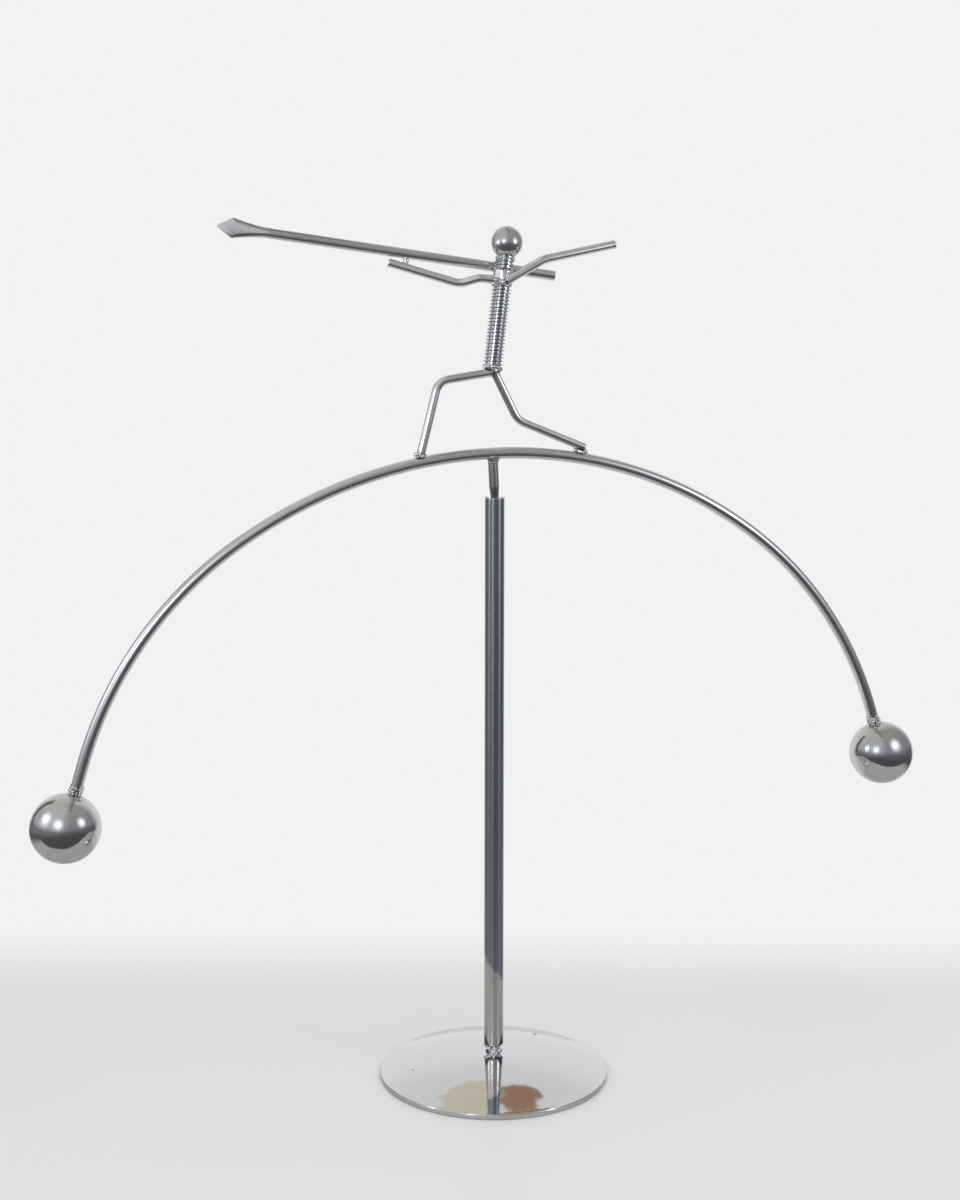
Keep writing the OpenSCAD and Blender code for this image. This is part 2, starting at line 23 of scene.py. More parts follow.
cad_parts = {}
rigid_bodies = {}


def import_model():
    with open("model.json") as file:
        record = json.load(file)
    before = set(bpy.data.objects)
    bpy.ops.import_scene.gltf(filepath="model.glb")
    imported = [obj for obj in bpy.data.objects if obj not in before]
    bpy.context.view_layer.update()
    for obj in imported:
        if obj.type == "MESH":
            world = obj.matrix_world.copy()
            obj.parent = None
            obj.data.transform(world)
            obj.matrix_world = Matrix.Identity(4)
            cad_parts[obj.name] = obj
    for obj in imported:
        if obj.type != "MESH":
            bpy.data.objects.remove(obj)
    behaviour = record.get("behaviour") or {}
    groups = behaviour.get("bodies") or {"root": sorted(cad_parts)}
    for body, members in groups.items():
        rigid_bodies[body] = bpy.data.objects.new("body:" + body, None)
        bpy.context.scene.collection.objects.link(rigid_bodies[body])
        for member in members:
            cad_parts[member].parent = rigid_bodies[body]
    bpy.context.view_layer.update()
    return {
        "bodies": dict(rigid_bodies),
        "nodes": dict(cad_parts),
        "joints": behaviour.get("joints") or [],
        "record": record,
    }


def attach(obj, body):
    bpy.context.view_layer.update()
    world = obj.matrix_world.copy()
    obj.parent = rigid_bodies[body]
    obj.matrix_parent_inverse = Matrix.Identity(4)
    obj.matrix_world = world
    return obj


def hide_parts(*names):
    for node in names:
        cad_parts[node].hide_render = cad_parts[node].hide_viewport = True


LOG = logging.getLogger("balance_toy")
MM = 0.001
X_AXIS = Vector((1, 0, 0))
Y_AXIS = Vector((0, 1, 0))
Z_AXIS = Vector((0, 0, 1))
UNBENT = "unbent"
Band = tuple[tuple[float, float], ...]
Colour = tuple[float, float, float]
Span = tuple[float, float]
RingRow = tuple[float, float, int, float, float]
VECTOR = "NodeSocketVector"
NUMBER = "NodeSocketFloat"
COLOUR = "NodeSocketColor"


class Body(str, Enum):
    """Bodies of the toy that the modelled pieces ride on."""

    STAND = "stand"
    BALANCE = "balance"


class Slot(str, Enum):
    """Finish slots of the toy."""

    BASE = "base"
    POST = "post"
    PIVOT = "pivot"
    ARCH = "arch"
    WEIGHTS = "weights"
    LIMBS = "limbs"
    STUD = "stud"
    HEAD = "head"
    SPEAR = "spear"
    WELDS = "welds"


class Side(Enum):
    """Sides of the arch, by their sign along X."""

    LEFT = -1
    RIGHT = 1


class Bench:
    """Hand tools of the modelling bench."""

    @staticmethod
    def clear() -> None:
        """Puts every tool down: object mode, nothing selected."""
        if bpy.context.object and bpy.context.object.mode != "OBJECT":
            bpy.ops.object.mode_set(mode="OBJECT")
        bpy.ops.object.select_all(action="DESELECT")

    @staticmethod
    def take(*pieces: Object) -> Object:
        """Selects pieces, the first of them active.

        Args:
            pieces: The pieces to take up.

        Returns:
            The first piece.
        """
        Bench.clear()
        for piece in pieces:
            piece.select_set(True)
        bpy.context.view_layer.objects.active = pieces[0]
        return pieces[0]

    @staticmethod
    def adopt(name: str) -> Object:
        """Names the primitive that was just added and applies its place and turn.

        Args:
            name: The piece's name.

        Returns:
            The new piece.
        """
        piece = bpy.context.object
        piece.name = name
        piece.data.name = name
        Bench.apply(piece)
        return piece

    @staticmethod
    def apply(piece: Object) -> None:
        """Applies a piece's place, turn and size to its mesh."""
        Bench.take(piece)
        bpy.ops.object.transform_apply(location=True, rotation=True, scale=True)

    @staticmethod
    @contextmanager
    def editing(piece: Object) -> Iterator[None]:
        """Holds a piece in edit mode.

        Args:
            piece: The piece to edit.

        Yields:
            Nothing.
        """
        Bench.take(piece)
        bpy.ops.object.mode_set(mode="EDIT")
        bpy.ops.mesh.select_mode(type="VERT")
        try:
            yield
        finally:
            bpy.ops.object.mode_set(mode="OBJECT")

    @staticmethod
    def pick_faces(piece: Object, test: Callable[[Any], bool]) -> None:
        """Selects the faces that pass a test, in edit mode.

        Args:
            piece: The piece in edit mode.
            test: Says whether a face is wanted.
        """
        bpy.ops.mesh.select_all(action="DESELECT")
        bpy.ops.mesh.select_mode(type="FACE")
        mesh = bmesh.from_edit_mesh(piece.data)
        for face in mesh.faces:
            face.select_set(test(face))
        bmesh.update_edit_mesh(piece.data)

    @staticmethod
    def close(piece: Object, merge: float = 0.0005) -> None:
        """Merges doubled points and turns every face outwards.

        Args:
            piece: The piece to close.
            merge: Distance within which points merge.
        """
        with Bench.editing(piece):
            bpy.ops.mesh.select_all(action="SELECT")
            bpy.ops.mesh.remove_doubles(threshold=merge)
            bpy.ops.mesh.normals_make_consistent(inside=False)

    @staticmethod
    def smooth(piece: Object, angle: float = 35.0) -> None:
        """Shades a piece smooth, with edges sharper than an angle in degrees left crisp."""
        Bench.take(piece)
        bpy.ops.object.shade_smooth_by_angle(angle=math.radians(angle))

    @staticmethod
    def modifier(piece: Object, kind: str, **settings: Any) -> None:
        """Adds a modifier and applies it at once.

        Args:
            piece: The piece to work on.
            kind: Blender's name for the modifier.
            settings: The modifier's settings.
        """
        Bench.take(piece)
        bpy.ops.object.modifier_add(type=kind)
        modifier = piece.modifiers[-1]
        for key, value in settings.items():
            setattr(modifier, key, value)
        bpy.ops.object.modifier_apply(modifier=modifier.name)

    @staticmethod
    def join(name: str, pieces: Sequence[Object]) -> Object:
        """Joins pieces into one object.

        Args:
            name: Name of the joined piece.
            pieces: The pieces, of which the first is kept.

        Returns:
            The joined piece.
        """
        whole = Bench.take(*pieces)
        if len(pieces) > 1:
            bpy.ops.object.join()
        whole.name = name
        whole.data.name = name
        return whole

    @staticmethod
    def cut(piece: Object, at: Vector, away: Vector) -> None:
        """Cuts off all that lies beyond a plane and fills the cut.

        Args:
            piece: The piece to cut.
            at: A point on the plane.
            away: Direction of the side that is cut off.
        """
        with Bench.editing(piece):
            bpy.ops.mesh.select_all(action="SELECT")
            bpy.ops.mesh.bisect(plane_co=at, plane_no=away, use_fill=True, clear_outer=True, threshold=1e-5)


def turn_to(heading: Vector) -> Any:
    """Euler angles of a primitive whose Z runs along a heading."""
    return heading.to_track_quat("Z", "Y").to_euler()


class BentRod:
    """A round rod: an open ring that is drawn out along straights and spun round bends."""

    STATION_STEP = 0.25
    SUPPORT = 0.5

    def __init__(self, name: str, start: Vector, heading: Vector, diameter: float, sides: int = 40) -> None:
        """Lays the first ring.

        Args:
            name: The piece's name.
            start: Centre of the rod's first end.
            heading: Direction in which the rod starts.
            diameter: Diameter of the rod.
            sides: Sides of the ring.
        """
        self.name = name
        self.at = start.copy()
        self.heading = heading.normalized()
        self.radius = diameter / 2
        self.across = self.heading.orthogonal().normalized()
        self.length = 0.0
        self.stations: list[tuple[Vector, Vector, Vector, float]] = []
        Bench.clear()
        bpy.ops.mesh.primitive_circle_add(vertices=sides, radius=self.radius, fill_type="NOTHING",
                                          location=self.at, rotation=turn_to(self.heading))
        self.piece = Bench.adopt(name)
        Bench.take(self.piece)
        bpy.ops.object.mode_set(mode="EDIT")
        bpy.ops.mesh.select_mode(type="EDGE")
        bpy.ops.mesh.select_all(action="SELECT")
        self._note()

    def _note(self) -> None:
        """Notes the station that the rod has come to."""
        self.stations.append((self.at.copy(), self.heading.copy(), self.across.copy(), self.length))

    def straight(self, length: float) -> "BentRod":
        """Draws the rod straight on, with a support ring near either end of a long stretch.

        Args:
            length: Length of the stretch.

        Returns:
            The rod itself.
        """
        long = length > 3 * self.SUPPORT
        stretches = (self.SUPPORT, length - 2 * self.SUPPORT, self.SUPPORT) if long else (length,)
        for stretch in stretches:
            bpy.ops.mesh.extrude_region_move(TRANSFORM_OT_translate={"value": self.heading * stretch})
        steps = max(1, math.ceil(length / self.STATION_STEP))
        for _ in range(steps):
            self.at = self.at + self.heading * (length / steps)
            self.length += length / steps
            self._note()
        return self

    def bend(self, centre: Vector, axis: Vector, angle: float, steps: int) -> "BentRod":
        """Bends the rod on round a centre.

        Args:
            centre: Centre of the bend.
            axis: Axis of the bend.
            angle: Angle of the bend, in radians, right-handed about the axis.
            steps: Number of rings that the bend takes.

        Returns:
            The rod itself.
        """
        bpy.ops.mesh.spin(steps=steps, angle=-angle, center=centre, axis=axis)
        radius = (self.at - centre).length
        count = max(1, math.ceil(radius * abs(angle) / self.STATION_STEP))
        step = Quaternion(axis, angle / count)
        for _ in range(count):
            self.at = centre + step @ (self.at - centre)
            self.heading = (step @ self.heading).normalized()
            self.across = (step @ self.across).normalized()
            self.length += radius * abs(angle) / count
            self._note()
        return self

    def corner(self, to: Vector, after: Vector, radius: float, steps: int = 10) -> "BentRod":
        """Draws the rod towards a corner point and bends it there towards the next point.

        Args:
            to: The corner point.
            after: The point after it.
            radius: Bend radius.
            steps: Number of rings in the bend.

        Returns:
            The rod itself.
        """
        turn = self.heading.angle((after - to).normalized())
        inward = ((after - to) - (after - to).project(self.heading)).normalized()
        self.straight((to - self.at).length - radius * math.tan(turn / 2))
        return self.bend(self.at + radius * inward, self.heading.cross(inward), turn, steps)

    def taper(self, length: float, factor: float) -> "BentRod":
        """Draws the rod straight on while its width changes evenly.

        Args:
            length: Length of the stretch.
            factor: Width at its end as a share of the width at its start.

        Returns:
            The rod itself.
        """
        bpy.ops.mesh.extrude_region_move(TRANSFORM_OT_translate={"value": self.heading * length})
        self.at = self.at + self.heading * length
        self.length += length
        self._note()
        bpy.ops.transform.resize(value=(factor, factor, factor), center_override=self.at)
        return self

    def finish(self, chamfer: float = 0.35, segments: int = 3) -> Object:
        """Closes both ends, eases their edges and lays the unbent coordinates.

        Args:
            chamfer: Size of the eased edge.
            segments: Facets across it.

        Returns:
            The finished rod.
        """
        bpy.ops.mesh.select_all(action="SELECT")
        bpy.ops.mesh.remove_doubles(threshold=0.0005)
        bpy.ops.mesh.select_all(action="SELECT")
        bpy.ops.mesh.fill_holes(sides=0)
        Bench.pick_faces(self.piece, lambda face: len(face.verts) > 4)
        bpy.ops.mesh.region_to_loop()
        bpy.ops.mesh.bevel(offset=chamfer, segments=segments, affect="EDGES")
        bpy.ops.object.mode_set(mode="OBJECT")
        Bench.close(self.piece)
        Bench.smooth(self.piece)
        self._lay_unbent()
        return self.piece

    def _lay_unbent(self) -> None:
        """Stores where each point would lie if the rod were straightened along Z, in metres."""
        tree = KDTree(len(self.stations))
        for index, station in enumerate(self.stations):
            tree.insert(station[0], index)
        tree.balance()
        layer = self.piece.data.attributes.new(UNBENT, "FLOAT_VECTOR", "POINT")
        for index, vert in enumerate(self.piece.data.vertices):
            at, heading, across, length = self.stations[tree.find(vert.co)[1]]
            out = vert.co - at
            place = (out.dot(across), out.dot(heading.cross(across)), length + out.dot(heading))
            layer.data[index].vector = Vector(place) * MM


def turned(name: str, profile: Sequence[tuple[float, float]], steps: int = 96) -> Object:
    """Turns a profile round the Z axis, from its first point on the axis to its last one.

    Args:
        name: The piece's name.
        profile: Points as (radius, height).
        steps: Facets round the axis.

    Returns:
        The turned piece.
    """
    first = Vector((profile[0][0], 0, profile[0][1]))
    Bench.clear()
    bpy.ops.mesh.primitive_plane_add(size=0.1, location=first)
    piece = Bench.adopt(name)
    with Bench.editing(piece):
        bpy.ops.mesh.select_all(action="SELECT")
        bpy.ops.mesh.merge(type="CENTER")
        for here, there in zip(profile, profile[1:]):
            bpy.ops.mesh.extrude_vertices_move(
                TRANSFORM_OT_translate={"value": (there[0] - here[0], 0, there[1] - here[1])})
        bpy.ops.mesh.select_all(action="SELECT")
        bpy.ops.mesh.spin(steps=steps, angle=2 * math.pi, center=(0, 0, 0), axis=Z_AXIS)
    Bench.close(piece)
    Bench.smooth(piece)
    return piece


@dataclass(frozen=True)
class Bead:
    """One bead of weld metal."""

    at: Vector
    radius: float


class Weld:
    """Weld metal: beads that run together, with grains of spatter thrown round them."""

    def __init__(self, name: str, seed: int, voxel: float = 0.16) -> None:
        """Starts a weld.

        Args:
            name: The piece's name.
            seed: Seed of its uneven beads.
            voxel: Grain of the melted skin.
        """
        self.name = name
        self.random = Random(seed)
        self.voxel = voxel
        self.beads: list[Bead] = []
        self.grains: list[Bead] = []

    def bead(self, at: Vector, radius: float) -> "Weld":
        """Lays one bead."""
        self.beads.append(Bead(at, radius))
        return self

    def ring(self, centre: Vector, axis: Vector, ring_radius: float, count: int, radius: float,
             uneven: float = 0.18) -> "Weld":
        """Lays beads in a ring, each a little different.

        Args:
            centre: Centre of the ring.
            axis: Its axis.
            ring_radius: Radius of the ring.
            count: Number of beads.
            radius: Mean radius of a bead.
            uneven: Share by which beads differ.

        Returns:
            The weld itself.
        """
        out = axis.orthogonal().normalized()
        for index in range(count):
            turn = Quaternion(axis, 2 * math.pi * (index + 0.3 * self.random.random()) / count)
            size = radius * (1 + uneven * self.random.uniform(-1, 1))
            lift = axis * radius * 0.25 * self.random.uniform(-1, 1)
            self.bead(centre + turn @ out * ring_radius + lift, size)
        return self

    def rings(self, centre: Callable[[float], Vector], axis: Vector, width: float,
              rows: Sequence[RingRow]) -> "Weld":
        """Lays rings of beads one above the other.

        Args:
            centre: Gives a ring's centre from its place along the weld.
            axis: Axis of the rings.
            width: Radius of a ring that is widened by nothing.
            rows: For each ring its place and widening, and the number, radius and unevenness of its beads.

        Returns:
            The weld itself.
        """
        for along, wider, count, radius, uneven in rows:
            self.ring(centre(along), axis, width + wider, count, radius, uneven)
        return self

    def spatter(self, places: Sequence[Vector], largest: float = 0.4) -> "Weld":
        """Throws grains of spatter on places.

        Args:
            places: Where the grains stick.
            largest: Radius of the largest grain.

        Returns:
            The weld itself.
        """
        for place in places:
            self.grains.append(Bead(place, largest * self.random.uniform(0.4, 1)))
        return self

    def _ball(self, bead: Bead, fineness: int) -> Object:
        """Makes one bead.

        Args:
            bead: The bead.
            fineness: Subdivisions of its skin.

        Returns:
            The bead as an object.
        """
        Bench.clear()
        bpy.ops.mesh.primitive_ico_sphere_add(subdivisions=fineness, radius=bead.radius, location=bead.at)
        return Bench.adopt(self.name)

    def finish(self, soften: int = 4) -> Object:
        """Melts the beads into one skin and adds the spatter.

        Args:
            soften: Passes of smoothing.

        Returns:
            The finished weld.
        """
        whole = Bench.join(self.name, [self._ball(bead, 3) for bead in self.beads])
        Bench.modifier(whole, "REMESH", mode="VOXEL", voxel_size=self.voxel)
        Bench.modifier(whole, "SMOOTH", factor=0.5, iterations=soften)
        if self.grains:
            whole = Bench.join(self.name, [whole] + [self._ball(grain, 2) for grain in self.grains])
        Bench.close(whole, merge=0.00005)
        Bench.smooth(whole, 60)
        return whole


class NodeBench:
    """Adds and joins nodes in one tree."""

    def __init__(self, tree: NodeTree) -> None:
        """Takes up a tree to fill."""
        self.tree = tree

    def add(self, kind: str, inputs: dict[Any, Any] | None = None, **settings: Any) -> Node:
        """Adds a node.

        Args:
            kind: Blender's type name of the node.
            inputs: For each input, a value or the socket that feeds it.
            settings: Properties of the node.

        Returns:
            The node.
        """
        node = self.tree.nodes.new(kind)
        for key, value in settings.items():
            setattr(node, key, value)
        for key, value in (inputs or {}).items():
            if isinstance(value, NodeSocket):
                self.tree.links.new(value, node.inputs[key])
            else:
                node.inputs[key].default_value = value
        return node

    def math(self, operation: str, *values: Any, clamp: bool = False) -> NodeSocket:
        """Adds a Math node on numbers or sockets and gives its result."""
        node = self.add("ShaderNodeMath", dict(enumerate(values)), operation=operation, use_clamp=clamp)
        return node.outputs[0]

    def vector_math(self, operation: str, *values: Any) -> Node:
        """Adds a Vector Math node on vectors or sockets."""
        return self.add("ShaderNodeVectorMath", dict(enumerate(values)), operation=operation)

    def group(self, tree: NodeTree, inputs: dict[str, Any]) -> Node:
        """Adds a shared group with its inputs."""
        return self.add("ShaderNodeGroup", inputs, node_tree=tree)

    def noise(self, place: NodeSocket, scale: Any = 1.0, **settings: float) -> NodeSocket:
        """Adds a noise at a scale and gives its value.

        Args:
            place: Coordinates.
            scale: A number or its socket.
            settings: The noise's further inputs.

        Returns:
            The noise's socket.
        """
        inputs = {"Vector": place, "Scale": scale} | settings
        return self.add("ShaderNodeTexNoise", inputs).outputs[0]

    def around_zero(self, noise: NodeSocket, size: float) -> NodeSocket:
        """Brings a noise to either side of zero, at a size."""
        return self.math("MULTIPLY", self.math("SUBTRACT", noise, 0.5), size)

    def span(self, value: Any, low: float, high: float, to_low: float = 0.0,
             to_high: float = 1.0) -> NodeSocket:
        """Adds a smooth Map Range.

        Args:
            value: The value's socket.
            low: Where the change begins.
            high: Where it ends.
            to_low: Result before it.
            to_high: Result after it.

        Returns:
            The result's socket.
        """
        node = self.add("ShaderNodeMapRange", {0: value, 1: low, 2: high, 3: to_low, 4: to_high},
                        interpolation_type="SMOOTHSTEP")
        return node.outputs[0]

    def mix(self, factor: Any, first: Any, second: Any) -> NodeSocket:
        """Mixes two colours by the share of the second."""
        return self.add("ShaderNodeMix", {0: factor, 6: first, 7: second}, data_type="RGBA").outputs[2]

    def ramp(self, factor: Any, stops: Sequence[tuple[float, Sequence[float]]]) -> NodeSocket:
        """Adds a colour ramp.

        Args:
            factor: The ramp's factor.
            stops: Positions and their colours.

        Returns:
            The colour's socket.
        """
        node = self.add("ShaderNodeValToRGB", {0: factor})
        elements = node.color_ramp.elements
        while len(elements) < len(stops):
            elements.new(0.5)
        for element, (position, colour) in zip(elements, stops):
            element.position = position
            element.color = (*colour[:3], 1)
        return node.outputs[0]


def blank_material(name: str) -> tuple[Material, NodeBench]:
    """Starts a material with no nodes.

    Args:
        name: Its name.

    Returns:
        The material and the bench of its nodes.
    """
    material = bpy.data.materials.new(name)
    material.use_nodes = True
    material.node_tree.nodes.clear()
    return material, NodeBench(material.node_tree)


Fill = Callable[[NodeBench, Any], dict[str, NodeSocket]]


def shared_group(name: str, inputs: dict[str, float | None],
                 outputs: dict[str, str]) -> Callable[[Fill], Any]:
    """Turns a method that fills a shader group into one that takes nothing, builds it once and hands it out.

    Args:
        name: The group's name.
        inputs: Its inputs: numbers with their default, vectors with None.
        outputs: Its outputs, with socket type.

    Returns:
        The decorator of such a method.
    """
    def decorate(fill: Fill) -> Callable[[], NodeTree]:
        """Wraps the method that fills the group.

        Args:
            fill: The method.

        Returns:
            A function that hands out the group.
        """
        @wraps(fill)
        def group() -> NodeTree:
            """Builds the group when it is first asked for.

            Returns:
                The group.
            """
            if name in bpy.data.node_groups:
                return bpy.data.node_groups[name]
            tree = bpy.data.node_groups.new(name, "ShaderNodeTree")
            for key, default in inputs.items():
                kind = VECTOR if default is None else NUMBER
                socket = tree.interface.new_socket(key, in_out="INPUT", socket_type=kind)
                if default is not None:
                    socket.default_value = default
            for key, kind in outputs.items():
                tree.interface.new_socket(key, in_out="OUTPUT", socket_type=kind)
            bench = NodeBench(tree)
            given = bench.add("NodeGroupInput").outputs
            bench.add("NodeGroupOutput", fill(bench, given))
            return tree
        return group
    return decorate


class Groups:
    """Shader groups that several finishes share: each takes a bench and inputs, and gives its outputs."""

    @staticmethod
    @shared_group("drawn streaks", {"Vector": None, "Across": 900.0, "Along": 30.0, "Wave": 90.0},
                  {"Lines": NUMBER, "Height": NUMBER})
    def streaks(bench: NodeBench, given: Any) -> dict[str, NodeSocket]:
        """Fine drawn lines that run along Z of their coordinates, and a slow waviness.

        Args:
            bench: The group's bench.
            given: Its inputs by name.

        Returns:
            What feeds its outputs, by name.
        """
        scale = bench.add("ShaderNodeCombineXYZ", {0: given["Across"], 1: given["Across"], 2: given["Along"]})
        drawn = bench.vector_math("MULTIPLY", given["Vector"], scale.outputs[0]).outputs[0]
        lines = bench.span(bench.noise(drawn, Detail=4.0, Roughness=0.6), 0.42, 0.68)
        wave = bench.noise(given["Vector"], given["Wave"], Detail=1.0)
        return {"Lines": lines, "Height": bench.math("ADD", bench.math("MULTIPLY", lines, 0.25), wave)}

    @staticmethod
    @shared_group("smudges", {"Vector": None, "Scale": 60.0}, {"Patches": NUMBER})
    def smudges(bench: NodeBench, given: Any) -> dict[str, NodeSocket]:
        """Soft patches, as left by hands and polish."""
        broad = bench.noise(given["Vector"], given["Scale"], Detail=3.0, Distortion=0.6)
        return {"Patches": bench.span(broad, 0.4, 0.68)}

    @staticmethod
    @shared_group("heat tint", {"Vector": None, "Centre": None, "Reach": 0.01},
                  {"Tint": COLOUR, "Amount": NUMBER})
    def heat(bench: NodeBench, given: Any) -> dict[str, NodeSocket]:
        """Tint that welding leaves round a point: dark scale, brown, straw, then bare steel.

        Args:
            bench: The group's bench.
            given: Its inputs by name.

        Returns:
            What feeds its outputs, by name.
        """
        away = bench.vector_math("DISTANCE", given["Vector"], given["Centre"]).outputs["Value"]
        uneven = bench.around_zero(bench.noise(given["Vector"], 500.0, Detail=2.0), 0.7)
        ragged = bench.math("ADD", bench.math("DIVIDE", away, given["Reach"]), uneven)
        tint = bench.ramp(ragged, [(0.0, (0.12, 0.13, 0.16)), (0.5, (0.20, 0.21, 0.25)),
                                   (0.75, (0.36, 0.32, 0.28)), (0.92, (0.58, 0.53, 0.44)),
                                   (1.0, (0.66, 0.64, 0.60))])
        return {"Tint": tint, "Amount": bench.span(ragged, 0.35, 1.0, 1.0, 0.0)}

    @staticmethod
    @shared_group("turning marks", {"Vector": None, "Pitch": 0.0012}, {"Lines": NUMBER, "Height": NUMBER})
    def rings(bench: NodeBench, given: Any) -> dict[str, NodeSocket]:
        """Turning marks round the Z axis.

        Args:
            bench: The group's bench.
            given: Its inputs by name.

        Returns:
            What feeds its outputs, by name.
        """
        flat = bench.vector_math("MULTIPLY", given["Vector"], (1, 1, 0)).outputs[0]
        radius = bench.vector_math("LENGTH", flat).outputs["Value"]
        line = bench.add("ShaderNodeCombineXYZ", {0: bench.math("DIVIDE", radius, given["Pitch"])}).outputs[0]
        coarse = bench.noise(line, Detail=2.0)
        return {"Lines": bench.span(coarse, 0.4, 0.65), "Height": coarse}


class Grain(Enum):
    """Which way a finish's fine marks run."""

    UNBENT = "along the rod"
    OBJECT = "along Z of the piece"
    TURNED = "round Z of the piece"


@dataclass(frozen=True)
class Heat:
    """A spot that welding has tinted: its place and how far the tint reaches, in metres."""

    at: tuple[float, float, float]
    reach: float


@dataclass(frozen=True)
class PolishedSteel:
    """Bright steel with fine marks of its polishing, smudges and heat tint near its welds."""

    SMUDGE_SCALE: ClassVar[float] = 70.0
    LINE_SHARE: ClassVar[float] = 0.6
    WEAR_SHARE: ClassVar[float] = 0.45
    HEAT_ROUGHNESS: ClassVar[float] = 0.12
    VEIL_ROUGHNESS: ClassVar[float] = 0.45
    BUMP_DEPTH: ClassVar[float] = 0.0004

    name: str
    colour: Colour = (0.64, 0.64, 0.63)
    shade: Colour = (0.50, 0.50, 0.51)
    roughness: float = 0.07
    marks: float = 0.10
    bump: float = 0.12
    across: float = 900.0
    along: float = 25.0
    wave: float = 90.0
    haze: float = 0.0
    brushed: float = 0.0
    grain: Grain = Grain.OBJECT
    heats: tuple[Heat, ...] = ()

    def material(self) -> Material:
        """Makes the finish.

        Returns:
            The material.
        """
        material, bench = blank_material(self.name)
        place = bench.add("ShaderNodeTexCoord").outputs["Object"]
        wear, height = self._wear(bench, place)
        colour = bench.mix(bench.math("MULTIPLY", wear, self.WEAR_SHARE), (*self.colour, 1), (*self.shade, 1))
        roughness = bench.math("ADD", bench.math("MULTIPLY", wear, self.marks), self.roughness)
        for heat in self.heats:
            spot = bench.group(Groups.heat(), {"Vector": place, "Centre": heat.at,
                                               "Reach": heat.reach}).outputs
            colour = bench.mix(spot["Amount"], colour, spot["Tint"])
            warmed = bench.math("MULTIPLY", spot["Amount"], self.HEAT_ROUGHNESS)
            roughness = bench.math("ADD", roughness, warmed)
        colour, roughness = self.cover(bench, place, colour, roughness)
        bench.add("ShaderNodeOutputMaterial", {0: self._shader(bench, colour, roughness, height)})
        return material

    def _wear(self, bench: NodeBench, place: NodeSocket) -> tuple[NodeSocket, NodeSocket]:
        """Lays the marks of polishing and use.

        Args:
            bench: The material's bench.
            place: Object coordinates.

        Returns:
            The share of wear and the height of the marks.
        """
        smudges = bench.group(Groups.smudges(), {"Vector": place,
                                                 "Scale": self.SMUDGE_SCALE}).outputs["Patches"]
        if self.grain is Grain.TURNED:
            marks = bench.group(Groups.rings(), {"Vector": place}).outputs
        else:
            along = place
            if self.grain is Grain.UNBENT:
                along = bench.add("ShaderNodeAttribute", attribute_name=UNBENT).outputs["Vector"]
            marks = bench.group(Groups.streaks(), {"Vector": along, "Across": self.across, "Along": self.along,
                                                   "Wave": self.wave}).outputs
        lines = bench.math("MULTIPLY", marks["Lines"], self.LINE_SHARE)
        patches = bench.math("MULTIPLY", smudges, 1 - self.LINE_SHARE)
        return bench.math("ADD", lines, patches), marks["Height"]

    def _shader(self, bench: NodeBench, colour: NodeSocket, roughness: NodeSocket,
                height: NodeSocket) -> NodeSocket:
        """Makes the metal, brushed round the piece and hazy where the finish says so.

        Args:
            bench: The material's bench.
            colour: Its colour.
            roughness: Its roughness.
            height: Height of its fine marks.

        Returns:
            The shader's socket.
        """
        bump = bench.add("ShaderNodeBump", {"Height": height, "Strength": self.bump,
                                            "Distance": self.BUMP_DEPTH})
        metal = {"Base Color": colour, "Metallic": 1.0, "Normal": bump.outputs[0]}
        shader = bench.add("ShaderNodeBsdfPrincipled", metal | {"Roughness": roughness})
        if self.brushed:
            round_axis = bench.add("ShaderNodeTangent", direction_type="RADIAL", axis="Z")
            bench.tree.links.new(round_axis.outputs[0], shader.inputs["Tangent"])
            shader.inputs["Anisotropic"].default_value = self.brushed
            shader.inputs["Anisotropic Rotation"].default_value = 0.25
        if self.haze:
            veil = bench.add("ShaderNodeBsdfPrincipled", metal | {"Roughness": self.VEIL_ROUGHNESS})
            shader = bench.add("ShaderNodeMixShader", {0: self.haze, 1: shader.outputs[0], 2: veil.outputs[0]})
        return shader.outputs[0]

    def cover(self, bench: NodeBench, place: NodeSocket, colour: NodeSocket,
              roughness: NodeSocket) -> tuple[NodeSocket, NodeSocket]:
        """Changes the steel's colour and roughness further where a finish says so, which plain steel does
        without.
        """
        return colour, roughness


